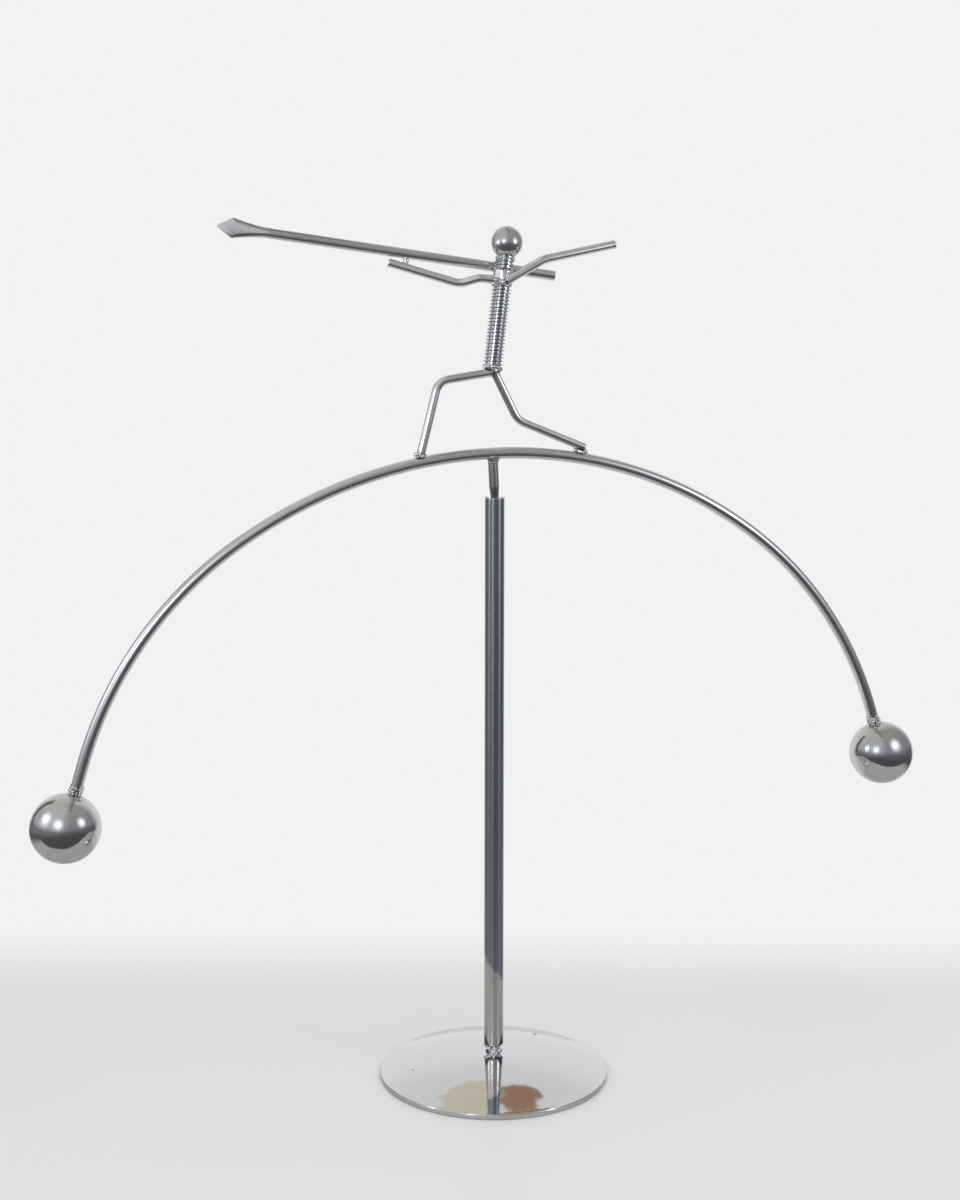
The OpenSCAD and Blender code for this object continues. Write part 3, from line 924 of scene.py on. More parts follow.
@dataclass(frozen=True)
class SteelWithPaintedReflection(PolishedSteel):
    """Steel painted dark blue above a slanting jagged line over the foot and left bright below it: a painted
    reflection of the table's front edge, with a painted dark reflection at both sides of the foot.
    """

    # Fineness of the jags round the post and up it, in turns per metre, and how far one reaches
    JAGS: ClassVar[tuple[float, float, float]] = (1900.0, 1900.0, 700.0)
    JAG_REACH: ClassVar[float] = 0.013
    EDGE: ClassVar[float] = 0.0002
    # The painted dark reflection at the foot covers a side, across the camera's view, beyond this distance from
    # the middle, and less of it further up
    PAINTED_FOOT_FROM: ClassVar[tuple[float, float]] = (0.0015, 0.0019)
    PAINTED_FOOT_SLOPE: ClassVar[float] = 0.38
    PAINTED_FOOT_JAG: ClassVar[float] = 0.0016
    PAINTED_FOOT_TOP: ClassVar[tuple[float, float]] = (0.006, 0.008)

    # Dark blue painted above the jagged edge: painted dark reflection of the room beyond the table
    painted_dark_above: Colour = (0.275, 0.30, 0.34)
    # Colour of the painted dark reflection at both sides of the foot
    scale: Colour = (0.16, 0.17, 0.20)
    roughness_above_edge: float = 0.30
    painted_edge_height: float = 0.0453
    slant: float = 1.35
    foot: float = 0.012
    top: float = 0.2382
    # Direction to the camera's right, across which the painted edge slants and the painted foot marks lie
    rightwards: tuple[float, float, float] = (0.9677, -0.2521, 0.0)

    def cover(self, bench: NodeBench, place: NodeSocket, colour: NodeSocket,
              roughness: NodeSocket) -> tuple[NodeSocket, NodeSocket]:
        """Paints the post dark above the slanting jagged edge, a painted reflection, and paints dark reflection
        at both sides of the foot.

        Args:
            bench: The material's bench.
            place: Object coordinates.
            colour: Colour of the bare steel.
            roughness: Its roughness.

        Returns:
            The colour and roughness with the painted reflection.
        """
        # Painted reflection: the table's front edge, slanting across the camera's view and jagged, with the post
        # painted dark above it
        height = bench.add("ShaderNodeSeparateXYZ", {0: place}).outputs[2]
        side = bench.vector_math("DOT_PRODUCT", place, self.rightwards).outputs["Value"]
        fine = bench.vector_math("MULTIPLY", place, self.JAGS).outputs[0]
        teeth = bench.math("SUBTRACT", bench.noise(fine, Detail=3.0, Roughness=0.6), 0.5)
        jagged = bench.math("MULTIPLY", teeth, self.JAG_REACH)
        line = bench.math("ADD", height, bench.math("ADD", bench.math("MULTIPLY", side, self.slant), jagged))
        above = bench.math("MULTIPLY", bench.span(line, self.painted_edge_height - self.EDGE, self.painted_edge_height + self.EDGE),
                           bench.span(height, self.top - self.EDGE, self.top + self.EDGE, 1.0, 0.0))
        # Painted dark reflection at both sides of the foot, narrowing further up
        sunk = bench.math("MULTIPLY", bench.math("SUBTRACT", height, self.foot), self.PAINTED_FOOT_SLOPE)
        wedge = bench.math("SUBTRACT", bench.math("ABSOLUTE", side), sunk)
        wedge = bench.math("ADD", wedge, bench.math("MULTIPLY", teeth, self.PAINTED_FOOT_JAG))
        low, high = self.PAINTED_FOOT_TOP
        below = bench.math("MULTIPLY", bench.span(wedge, *self.PAINTED_FOOT_FROM),
                           bench.span(height, self.foot + low, self.foot + high, 1.0, 0.0))
        more = bench.math("MULTIPLY", above, self.roughness_above_edge - self.roughness)
        rough = bench.math("ADD", more, roughness)
        return bench.mix(below, bench.mix(above, colour, (*self.painted_dark_above, 1)), (*self.scale, 1)), rough


@dataclass(frozen=True)
class HammeredSteel(PolishedSteel):
    """Steel with a paler, duller finish on its hammered flats, which face forwards and backwards."""

    FACING: ClassVar[tuple[float, float]] = (0.985, 0.993)
    NECK_EDGE: ClassVar[float] = 0.001

    flats: Colour = (0.88, 0.88, 0.90)
    flats_roughness: float = 0.32
    neck: float = -0.09

    def cover(self, bench: NodeBench, place: NodeSocket, colour: NodeSocket,
              roughness: NodeSocket) -> tuple[NodeSocket, NodeSocket]:
        """Lays the paler finish on the flats.

        Args:
            bench: The material's bench.
            place: Object coordinates.
            colour: Colour of the steel.
            roughness: Its roughness.

        Returns:
            The colour and roughness with the flats.
        """
        normal = bench.add("ShaderNodeNewGeometry").outputs["Normal"]
        facing = bench.math("ABSOLUTE", bench.add("ShaderNodeSeparateXYZ", {0: normal}).outputs[1])
        along = bench.add("ShaderNodeSeparateXYZ", {0: place}).outputs[0]
        share = bench.math("MULTIPLY", bench.span(facing, *self.FACING),
                           bench.span(along, self.neck - self.NECK_EDGE, self.neck, 1.0, 0.0))
        more = bench.math("MULTIPLY", share, self.flats_roughness - self.roughness)
        rough = bench.math("ADD", more, roughness)
        return bench.mix(share, colour, (*self.flats, 1)), rough


@dataclass(frozen=True)
class WeldMetal:
    """Bright weld metal with patches of dark skin."""

    RIPPLES: ClassVar[float] = 650.0
    SKINS: ClassVar[float] = 420.0
    SKIN_FADE: ClassVar[float] = 0.18

    name: str = "weld metal"
    bright: Colour = (0.82, 0.82, 0.83)
    dark: Colour = (0.30, 0.29, 0.30)
    skin_from: float = 0.54
    roughness: float = 0.12
    skin_roughness: float = 0.25

    def material(self) -> Material:
        """Makes the finish.

        Returns:
            The material.
        """
        material, bench = blank_material(self.name)
        place = bench.add("ShaderNodeTexCoord").outputs["Object"]
        ripple = bench.noise(place, self.RIPPLES, Detail=2.0)
        skin = bench.span(bench.noise(place, self.SKINS, Detail=4.0), self.skin_from,
                          self.skin_from + self.SKIN_FADE)
        colour = bench.mix(skin, (*self.bright, 1), (*self.dark, 1))
        roughness = bench.math("ADD", bench.math("MULTIPLY", skin, self.skin_roughness), self.roughness)
        bump = bench.add("ShaderNodeBump", {"Height": ripple, "Strength": 0.22, "Distance": 0.0003})
        shader = bench.add("ShaderNodeBsdfPrincipled", {"Base Color": colour, "Roughness": roughness,
                                                        "Metallic": 1.0, "Normal": bump.outputs[0]})
        bench.add("ShaderNodeOutputMaterial", {0: shader.outputs[0]})
        return material


@dataclass
class Finisher:
    """Sets finished pieces in the frame: their place, finish, body and the node that they stand for."""

    pivot_z: float
    settle: float

    @classmethod
    def from_frame(cls, frame: dict[str, Any]) -> "Finisher":
        """Reads the pivot in millimetres and the settled lean in radians from the loaded frame."""
        spin = next(joint for joint in frame["joints"] if joint["name"] == "spin")
        return cls(pivot_z=spin["pos_m"][2] / MM, settle=math.atan2(-spin["axis"][0], spin["axis"][2]))

    def placing(self, body: Body) -> Matrix:
        """Matrix from the bench to the frame.

        Args:
            body: The piece's body.

        Returns:
            The matrix, which also turns millimetres to metres.
        """
        scale = Matrix.Scale(MM, 4)
        if body is Body.STAND:
            return scale
        return scale @ Matrix.Translation((0, 0, self.pivot_z)) @ Matrix.Rotation(-self.settle, 4, "Y")

    def where(self, point: Vector, body: Body = Body.BALANCE) -> tuple[float, float, float]:
        """Frame coordinates, in metres, of a point of a body on the bench."""
        return tuple(self.placing(body) @ point)

    def heat(self, point: Vector, reach: float) -> Heat:
        """Heat tint round a point of the balance on the bench, with its reach in metres."""
        return Heat(self.where(point), reach)

    def seat(self, piece: Object, body: Body, slot: Slot, material: Material, *nodes: str) -> Object:
        """Puts a finished piece in its place.

        Args:
            piece: The piece, in bench coordinates.
            body: The body that it rides on.
            slot: Its finish slot; not used.
            material: Its material.
            nodes: The nodes that it stands for.

        Returns:
            The piece.
        """
        piece.matrix_world = self.placing(body)
        Bench.apply(piece)
        piece.data.materials.clear()
        piece.data.materials.append(material)
        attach(piece, body.value)
        if nodes:
            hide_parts(*nodes)
        LOG.info("%s: %d faces", piece.name, len(piece.data.polygons))
        return piece


def in_plane(x: float, z: float, y: float = 0.0) -> Vector:
    """Place of a point x to the right of the pin, z above the pivot and y behind the balance's plane."""
    return Vector((x, y, z))


def leftward(rise: float) -> Vector:
    """Direction to the left that rises by some degrees."""
    return in_plane(-math.cos(math.radians(rise)), math.sin(math.radians(rise)))


def rightward(rise: float) -> Vector:
    """Direction to the right that rises by some degrees."""
    return in_plane(math.cos(math.radians(rise)), math.sin(math.radians(rise)))


def quarter_round(x: float, z: float, radius: float, start: float, steps: int) -> list[tuple[float, float]]:
    """Points of a quarter circle for a turned profile.

    Args:
        x: Distance of its centre from the axis.
        z: Height of its centre.
        radius: Its radius.
        start: Angle at which it starts, in degrees.
        steps: Number of its facets.

    Returns:
        Points as (radius, height).
    """
    angles = [math.radians(start + 90 * step / steps) for step in range(steps + 1)]
    return [(x + radius * math.cos(angle), z + radius * math.sin(angle)) for angle in angles]


@dataclass
class Stand:
    """Domed base, post and the weld between them."""

    DOME_RINGS: ClassVar[int] = 36
    LAST_DRAW: ClassVar[float] = 2.5
    # Rings of beads in the post's foot weld: share of its height, widening, number, bead radius, unevenness
    COLUMN: ClassVar[tuple[RingRow, ...]] = (
        (0.05, -0.45, 11, 0.75, 0.35), (0.35, -0.75, 8, 0.85, 0.35), (0.65, -0.6, 7, 0.8, 0.35),
        (0.95, -0.5, 9, 0.75, 0.35))
    # Runs of weld metal at the post's end, then at the dome: x, y, share of the height, drop below it, radius
    RUNS: ClassVar[tuple[tuple[float, float, float, float, float], ...]] = (
        (-3.7, 0.3, 1, 0.0, 0.75), (-3.3, -0.9, 1, 0.3, 0.8), (-2.6, -1.0, 1, 0.9, 0.8),
        (3.25, -0.8, 0, -0.25, 0.42), (-3.0, -0.4, 0, -0.3, 0.5), (0.4, -3.0, 0, -0.2, 0.5))
    CHROME_SPECK: ClassVar[Heat] = Heat((-0.03484, -0.00231, 0.00531), 0.0008)

    finisher: Finisher
    base_d: float = 94.0
    edge_h: float = 2.0
    rise: float = 7.3
    edge_round: float = 0.5
    post_d: float = 7.94
    post_top: float = 239.2
    cup_half_angle: float = 50.0
    cup_land: float = 0.5
    saddle_depth: float = 0.8
    saddle_r: float = 9.0
    post_lift: float = 2.9
    post_bevel: float = 0.5
    weld_d: float = 5.5
    drop_at: tuple[float, float] = (24.35, 21.83)
    drop_r: float = 0.85

    def __post_init__(self) -> None:
        """Works out the dome."""
        radius = self.base_d / 2
        self.dome_r = (radius ** 2 + self.rise ** 2) / (2 * self.rise)
        self.dome_centre = self.edge_h + self.rise - self.dome_r
        self.flat = self.dome_z(self.post_d / 2)
        self.post_end = self.flat + self.post_lift

    def dome_z(self, radius: float) -> float:
        """Height of the dome at a radius."""
        return self.dome_centre + math.sqrt(self.dome_r ** 2 - radius ** 2)

    def base(self) -> Object:
        """Turns the base: flat underside, upright rounded edge, dome, and one drop of spatter on it.

        Returns:
            The base.
        """
        ease = self.edge_round
        inner = self.base_d / 2 - ease
        profile = [(0.0, 0.0), *quarter_round(inner, ease, ease, -90, 5),
                   *quarter_round(inner, self.dome_z(inner) - ease, ease, 0, 6)]
        for step in range(1, self.DOME_RINGS + 1):
            at = inner * (1 - step / self.DOME_RINGS)
            profile.append((at, self.dome_z(at)))
        base = turned("base_dome_dressed", profile, 160)
        Bench.clear()
        x, y = self.drop_at
        bpy.ops.mesh.primitive_uv_sphere_add(segments=32, ring_count=20, radius=self.drop_r,
                                             location=(x, y, self.dome_z(math.hypot(x, y)) + 0.1))
        bpy.context.object.scale = (1, 1, 0.5)
        drop = Bench.adopt("drop")
        Bench.smooth(drop)
        return Bench.join("base_dome_dressed", [base, drop])

    def post(self) -> Object:
        """Draws the post up, opens its cup and files the saddle across it.

        Returns:
            The post.
        """
        end_d = self.post_d - 2 * self.post_bevel
        rod = BentRod("post_dressed", Vector((0, 0, self.post_end)), Z_AXIS, end_d, 96)
        rod.taper(self.post_bevel, self.post_d / end_d)
        shaft = self.post_top - self.post_end - self.post_bevel - self.LAST_DRAW
        rod.straight(shaft).straight(self.LAST_DRAW)
        post = rod.finish(chamfer=0.12, segments=2)
        cup_r = self.post_d / 2 - self.cup_land
        depth = cup_r / math.tan(math.radians(self.cup_half_angle))
        Bench.clear()
        bpy.ops.mesh.primitive_cone_add(vertices=96, radius1=0, radius2=2 * cup_r, depth=2 * depth,
                                        location=(0, 0, self.post_top))
        cone = Bench.adopt("cup_cutter")
        Bench.clear()
        bpy.ops.mesh.primitive_cylinder_add(vertices=160, radius=self.saddle_r, depth=2 * self.post_d,
                                            location=(0, 0, self.post_top - self.saddle_depth + self.saddle_r),
                                            rotation=(math.pi / 2, 0, 0))
        saddle = Bench.adopt("saddle_cutter")
        for cutter in (cone, saddle):
            Bench.modifier(post, "BOOLEAN", object=cutter, operation="DIFFERENCE", solver="EXACT")
            bpy.data.objects.remove(cutter)
        Bench.close(post)
        Bench.smooth(post, 30)
        return post

    def foot_weld(self) -> Object:
        """Builds up the uneven column of weld metal that carries the post.

        Returns:
            The weld.
        """
        weld = Weld("foot_weld_dressed", seed=3, voxel=0.13)
        radius, lift = self.weld_d / 2, self.post_lift
        weld.rings(lambda share: Vector((0, 0, self.flat + lift * share)), Z_AXIS, radius, self.COLUMN)
        weld.bead(Vector((0, 0, self.flat + lift / 2)), radius * 0.8)
        for x, y, share, drop, size in self.RUNS:
            weld.bead(Vector((x, y, self.flat + (lift * share - drop))), size)
        return weld.finish(soften=2)

    def build(self) -> None:
        """Builds and dresses the stand."""
        seat = self.finisher.seat
        chrome = PolishedSteel("turned chrome", colour=(0.74, 0.745, 0.75), shade=(0.69, 0.695, 0.70),
                               roughness=0.045, marks=0.03, bump=0.02, grain=Grain.TURNED,
                               heats=(self.CHROME_SPECK,))
        # The post's steel with a painted reflection: dark above a slanting jagged edge, bright below it, dark at
        # both sides of the foot
        bright = SteelWithPaintedReflection("post steel", colour=(0.68, 0.66, 0.62), shade=(0.50, 0.485, 0.455), roughness=0.25,
                            marks=0.05, bump=0.03, wave=60.0, brushed=0.9, grain=Grain.UNBENT,
                            foot=self.post_end * MM)
        seat(self.base(), Body.STAND, Slot.BASE, chrome.material(), "base_dome")
        seat(self.post(), Body.STAND, Slot.POST, bright.material(), "post")
        metal = WeldMetal("foot weld metal", dark=(0.05, 0.05, 0.06), skin_from=0.46)
        seat(self.foot_weld(), Body.STAND, Slot.WELDS, metal.material(), "foot_weld")


@dataclass
class Arch:
    """The bent rod, its two weights, the pin under its crown and their welds."""

    # Rings of beads, as place along the weld, widening, number, bead radius, unevenness
    BALL_RINGS: ClassVar[tuple[RingRow, ...]] = (
        (-0.1, 0.0, 11, 0.52, 0.25), (-1.3, 0.1, 11, 0.55, 0.3), (-2.4, 0.1, 10, 0.52, 0.35),
        (-3.4, 0.0, 6, 0.42, 0.4))
    PIN_RINGS: ClassVar[tuple[RingRow, ...]] = (
        (-0.2, -0.35, 12, 0.75, 0.15), (-1.3, -0.4, 11, 0.55, 0.15), (0.7, 0.2, 10, 0.8, 0.12))
    # Where the figure's feet have tinted the arch, in degrees from its crown
    FOOT_TINTS: ClassVar[tuple[float, float]] = (-8.6, 11.5)

    finisher: Finisher
    rod_d: float = 4.76
    crown_h: float = 18.4
    crown_radii: tuple[float, float] = (194.5, 180.0)
    crown_angles: tuple[float, float] = (32.2, 38.5)
    flank_radii: tuple[float, float] = (155.0, 152.5)
    turns: tuple[float, float] = (70.9, 76.9)
    tails: tuple[float, float] = (11.4, 1.5)
    ball_d: float = 27.0
    pin_d: float = 3.97
    pin_end_d: float = 3.0
    pin_foot_h: float = 0.5
    pin_taper: float = 4.5

    def _of(self, pair: tuple[float, float], side: Side) -> float:
        """The value of one side of the arch."""
        return pair[0] if side is Side.LEFT else pair[1]

    def crown_centre(self, side: Side) -> Vector:
        """Centre of a side's crown arc."""
        return in_plane(0, self.crown_h - self._of(self.crown_radii, side))

    def flank_centre(self, side: Side) -> Vector:
        """Centre of a side's flank arc."""
        angle = math.radians(self._of(self.crown_angles, side))
        shift = self._of(self.crown_radii, side) - self._of(self.flank_radii, side)
        return self.crown_centre(side) + shift * in_plane(side.value * math.sin(angle), math.cos(angle))

    def point(self, degrees: float, lift: float = 0.0) -> Vector:
        """A point on the arch's centreline, or lifted from it.

        Args:
            degrees: Angle from the crown's top, negative on the left.
            lift: Distance outside the centreline.

        Returns:
            The point.
        """
        side = Side.LEFT if degrees < 0 else Side.RIGHT
        angle = math.radians(degrees)
        out = in_plane(math.sin(angle), math.cos(angle))
        if abs(degrees) <= self._of(self.crown_angles, side):
            return self.crown_centre(side) + (self._of(self.crown_radii, side) + lift) * out
        return self.flank_centre(side) + (self._of(self.flank_radii, side) + lift) * out

    def heading(self, side: Side) -> Vector:
        """Direction in which the rod's end runs towards its ball."""
        angle = math.radians(self._of(self.turns, side))
        return in_plane(side.value * math.cos(angle), -math.sin(angle))

    def end(self, side: Side, beyond: float = 0.0) -> Vector:
        """The rod's end on a side, or a point beyond it."""
        turn = side.value * self._of(self.turns, side)
        return self.point(turn) + (self._of(self.tails, side) + beyond) * self.heading(side)

    def rod(self) -> Object:
        """Draws the arch from the left ball over the crown to the right ball.

        Returns:
            The rod.
        """
        left, right = Side.LEFT, Side.RIGHT
        turn = {side: math.radians(self._of(self.turns, side)) for side in Side}
        crown = {side: math.radians(self._of(self.crown_angles, side)) for side in Side}
        rod = BentRod("arch_rod_dressed", self.end(left), -self.heading(left), self.rod_d, 36)
        rod.straight(self._of(self.tails, left))
        rod.bend(self.flank_centre(left), Y_AXIS, turn[left] - crown[left], 56)
        rod.bend(self.crown_centre(left), Y_AXIS, crown[left], 60)
        rod.bend(self.crown_centre(right), Y_AXIS, crown[right], 66)
        rod.bend(self.flank_centre(right), Y_AXIS, turn[right] - crown[right], 56)
        rod.straight(self._of(self.tails, right))
        return rod.finish()

    def ball(self, side: Side) -> Object:
        """Makes a weight, its pole under its weld.

        Args:
            side: Its side of the arch.

        Returns:
            The ball.
        """
        radius = self.ball_d / 2
        Bench.clear()
        bpy.ops.mesh.primitive_uv_sphere_add(segments=128, ring_count=80, radius=radius,
                                             location=self.end(side, radius),
                                             rotation=turn_to(-self.heading(side)))
        ball = Bench.adopt(f"{side.name.lower()}_ball_dressed")
        Bench.smooth(ball)
        return ball

    def ball_weld(self, side: Side) -> Object:
        """Lays the beads that hold a ball.

        Args:
            side: Its side of the arch.

        Returns:
            The weld.
        """
        name = side.name.lower()
        weld = Weld(f"{name}_ball_weld_dressed", seed=11 + side.value)
        axis = -self.heading(side)
        weld.rings(lambda beyond: self.end(side, beyond), axis, self.rod_d / 2, self.BALL_RINGS)
        centre = self.end(side, self.ball_d / 2)
        out = axis.orthogonal().normalized()
        places = []
        for _ in range(5):
            lean = Quaternion(out, math.radians(weld.random.uniform(16, 30)))
            turn = Quaternion(axis, 2 * math.pi * weld.random.random())
            places.append(centre + turn @ (lean @ axis) * (self.ball_d / 2 + 0.03))
        return weld.spatter(places, 0.26).finish()

    def pin(self) -> Object:
        """Draws the pin up from its nose.

        Returns:
            The pin.
        """
        top = self.crown_h - self.rod_d / 2 + 0.4
        rod = BentRod("pivot_pin_dressed", in_plane(0, self.pin_foot_h), Z_AXIS, self.pin_end_d, 40)
        rod.taper(self.pin_taper, self.pin_d / self.pin_end_d)
        rod.straight(top - self.pin_foot_h - self.pin_taper)
        return rod.finish(chamfer=0.2)

    def pin_weld(self) -> Object:
        """Lays the collar between pin and arch.

        Returns:
            The weld.
        """
        under = self.crown_h - self.rod_d / 2
        weld = Weld("pin_weld_dressed", seed=21, voxel=0.13)
        weld.rings(lambda lift: in_plane(0, under + lift), Z_AXIS, self.pin_d / 2, self.PIN_RINGS)
        return weld.finish(soften=4)

    def build(self) -> None:
        """Builds and dresses the arch."""
        seat, heat = self.finisher.seat, self.finisher.heat
        under = in_plane(0, self.crown_h - self.rod_d / 2)
        front, rear = (self.point(degrees, self.rod_d / 2) for degrees in self.FOOT_TINTS)
        spots = (heat(under, 0.0035), heat(front, 0.003), heat(rear, 0.0035),
                 heat(self.end(Side.LEFT), 0.004), heat(self.end(Side.RIGHT), 0.004))
        rod_steel = PolishedSteel("arch steel", colour=(0.73, 0.73, 0.73), shade=(0.60, 0.60, 0.61),
                                  roughness=0.10, marks=0.06, bump=0.03, haze=0.05, grain=Grain.UNBENT,
                                  heats=spots)
        seat(self.rod(), Body.BALANCE, Slot.ARCH, rod_steel.material(), "arch_rod")
        pin_steel = PolishedSteel("pin steel", colour=(0.285, 0.29, 0.30), shade=(0.21, 0.215, 0.225),
                                  roughness=0.26, marks=0.10, bump=0.04, grain=Grain.UNBENT,
                                  heats=(heat(under, 0.004),))
        seat(self.pin(), Body.BALANCE, Slot.PIVOT, pin_steel.material(), "pivot_pin")
        metal = WeldMetal("arch weld metal").material()
        collar = WeldMetal("collar weld metal", bright=(0.44, 0.45, 0.47), dark=(0.24, 0.24, 0.26)).material()
        seat(self.pin_weld(), Body.BALANCE, Slot.WELDS, collar, "pin_weld")
        for side in Side:
            name = side.name.lower()
            steel = PolishedSteel(f"{name} ball steel", roughness=0.05, marks=0.06, bump=0.03, across=300.0,
                                  along=300.0, haze=0.05, heats=(heat(self.end(side), 0.0042),))
            seat(self.ball(side), Body.BALANCE, Slot.WEIGHTS, steel.material(), f"{name}_ball")
            seat(self.ball_weld(side), Body.BALANCE, Slot.WELDS, metal, f"{name}_ball_weld")


def limb_steel(name: str, colour: float, shade: float, roughness: float, haze: float, *heats: Heat) -> Material:
    """Makes the finish of a pair of limbs.

    Args:
        name: The finish's name.
        colour: Grey of the steel.
        shade: Grey of its marks.
        roughness: Its roughness.
        haze: Share of haze.
        heats: Its heat tints.

    Returns:
        The material.
    """
    return PolishedSteel(name, colour=(colour, colour, colour), shade=(shade, shade, shade + 0.01), marks=0.03,
                         roughness=roughness, bump=0.0, haze=haze, grain=Grain.UNBENT, heats=heats).material()


@dataclass
class Figure:
    """The spear thrower: two legs, a threaded stud, a ball for its head and two arms."""

    # One tooth of the thread, as depth below the crest and height up the pitch, both as shares
    TOOTH: ClassVar[tuple[tuple[float, float], ...]] = (
        (1, 0.0), (1, 0.22), (0, 0.5), (0, 0.64), (1, 0.92), (1, 1.0))
    THREAD_DEPTH: ClassVar[float] = 0.613
    FLARE_LEN: ClassVar[float] = 1.2
    NECK_RINGS: ClassVar[tuple[RingRow, ...]] = ((-0.05, -0.95, 11, 0.55, 0.2), (-0.8, -0.65, 14, 0.58, 0.2))
    # The shoulders' smooth collar of weld metal: its start up the torso, rise of a row, rows and depth
    COLLAR_FROM: ClassVar[float] = 35.0
    COLLAR_STEP: ClassVar[float] = 0.65
    COLLAR_ROWS: ClassVar[int] = 8
    COLLAR_INSET: ClassVar[float] = 0.75

    finisher: Finisher
    arch: Arch
    hip_h: float = 50.7
    hip_x: float = 2.3
    torso_d: float = 7.94
    torso_len: float = 51.2
    torso_lean: float = 9.6
    torso_set: float = 0.95
    thread_pitch: float = 1.411
    head_d: float = 12.7
    head_sink: float = 0.75
    limb_d: float = 3.5
    front_thigh_len: float = 23.3
    front_thigh_fall: float = 7.1
    front_foot_at: float = 8.6
    front_knee_r: float = 6.0
    rear_thigh_len: float = 21.5
    rear_thigh_fall: float = 65.9
    rear_foot_at: float = 12.15
    rear_toe_gap: float = 0.4
    rear_knee_r: float = 8.0
    front_shoulder_at: float = 36.1
    front_upper_arm_len: float = 9.5
    front_upper_rise: float = 7.5
    front_mid_arm_len: float = 8.0
    front_mid_fall: float = 13.7
    front_forearm_len: float = 28.9
    front_forearm_rise: float = 18.9
    front_elbow_r: float = 9.0
    front_arm_ahead: float = 0.5
    front_elbow_back: float = 2.0
    rear_shoulder_at: float = 35.3
    rear_upper_arm_len: float = 17.8
    rear_upper_rise: float = 27.4
    rear_forearm_len: float = 31.5
    rear_forearm_rise: float = 10.4
    rear_elbow_r: float = 16.0
    rear_elbow_back: float = 0.5
    rear_hand_back: float = 3.2
    spear_d: float = 4.0

    def __post_init__(self) -> None:
        """Works out the figure's points."""
        lean = math.radians(self.torso_lean)
        self.hip = in_plane(self.hip_x, self.hip_h)
        self.up = in_plane(math.sin(lean), math.cos(lean))
        self.limb_r = self.limb_d / 2
        self.torso_r = self.torso_d / 2
        self.torso_top = self.torso_len - self.head_d / 2 + self.head_sink
        self.head_at = self.torso_point(self.torso_len)
        self.rear_knee = self.hip - self.rear_thigh_len * leftward(self.rear_thigh_fall)
        over_arch = self.arch.rod_d / 2 + self.rear_toe_gap + self.limb_r
        self.rear_foot = self.arch.point(self.rear_foot_at, over_arch)
        self.front_knee = self.hip + self.front_thigh_len * leftward(-self.front_thigh_fall)
        self.front_foot = self.arch.point(-self.front_foot_at, self.arch.rod_d / 2 + 0.5)
        self.spear_y = self.torso_r + self.spear_d / 2 + 0.02
        self.front_shoulder = self.torso_point(self.front_shoulder_at)
        self.front_corner = self.front_shoulder + self.front_upper_arm_len * leftward(self.front_upper_rise)
        self.front_elbow = self.front_corner + self.front_mid_arm_len * leftward(-self.front_mid_fall)
        self.front_hand = self.front_elbow + self.front_forearm_len * leftward(self.front_forearm_rise)
        self.rear_shoulder = self.torso_point(self.rear_shoulder_at)
        self.rear_elbow = self.rear_shoulder + self.rear_upper_arm_len * rightward(self.rear_upper_rise)
        self.rear_hand = self.rear_elbow + self.rear_forearm_len * rightward(self.rear_forearm_rise)

    def torso_point(self, along: float, y: float = 0.0) -> Vector:
        """A point at a distance from the hip's level along the torso's axis, or y behind it."""
        return self.hip - in_plane(self.torso_set, 0) + along * self.up + y * Y_AXIS

    def rod_through(self, name: str, points: Sequence[Vector], bend_r: float, flare: float = 1.0) -> Object:
        """Bends a limb through its corner points.

        Args:
            name: The piece's name.
            points: Start, corners and end.
            bend_r: Bend radius at the corners.
            flare: Widening of the far end.

        Returns:
            The limb.
        """
        rod = BentRod(name, points[0], points[1] - points[0], self.limb_d, 32)
        for index in range(1, len(points) - 1):
            rod.corner(points[index], points[index + 1], bend_r, 12)
        rest = (points[-1] - rod.at).length
        if flare > 1:
            rod.straight(rest - self.FLARE_LEN).taper(self.FLARE_LEN, flare)
        else:
            rod.straight(rest)
        return rod.finish(chamfer=0.28)

    def legs(self) -> tuple[Object, Object]:
        """Bends both legs.

        Returns:
            The front leg and the rear leg.
        """
        front_start = self.hip + 0.3 * self.limb_d * leftward(-self.front_thigh_fall)
        front = self.rod_through("front_leg_dressed", [front_start, self.front_knee, self.front_foot],
                                 self.front_knee_r)
        rear_start = self.hip + 0.2 * self.limb_d * leftward(self.rear_thigh_fall)
        rear = self.rod_through("rear_leg_dressed", [rear_start, self.rear_knee, self.rear_foot],
                                self.rear_knee_r)
        return front, rear

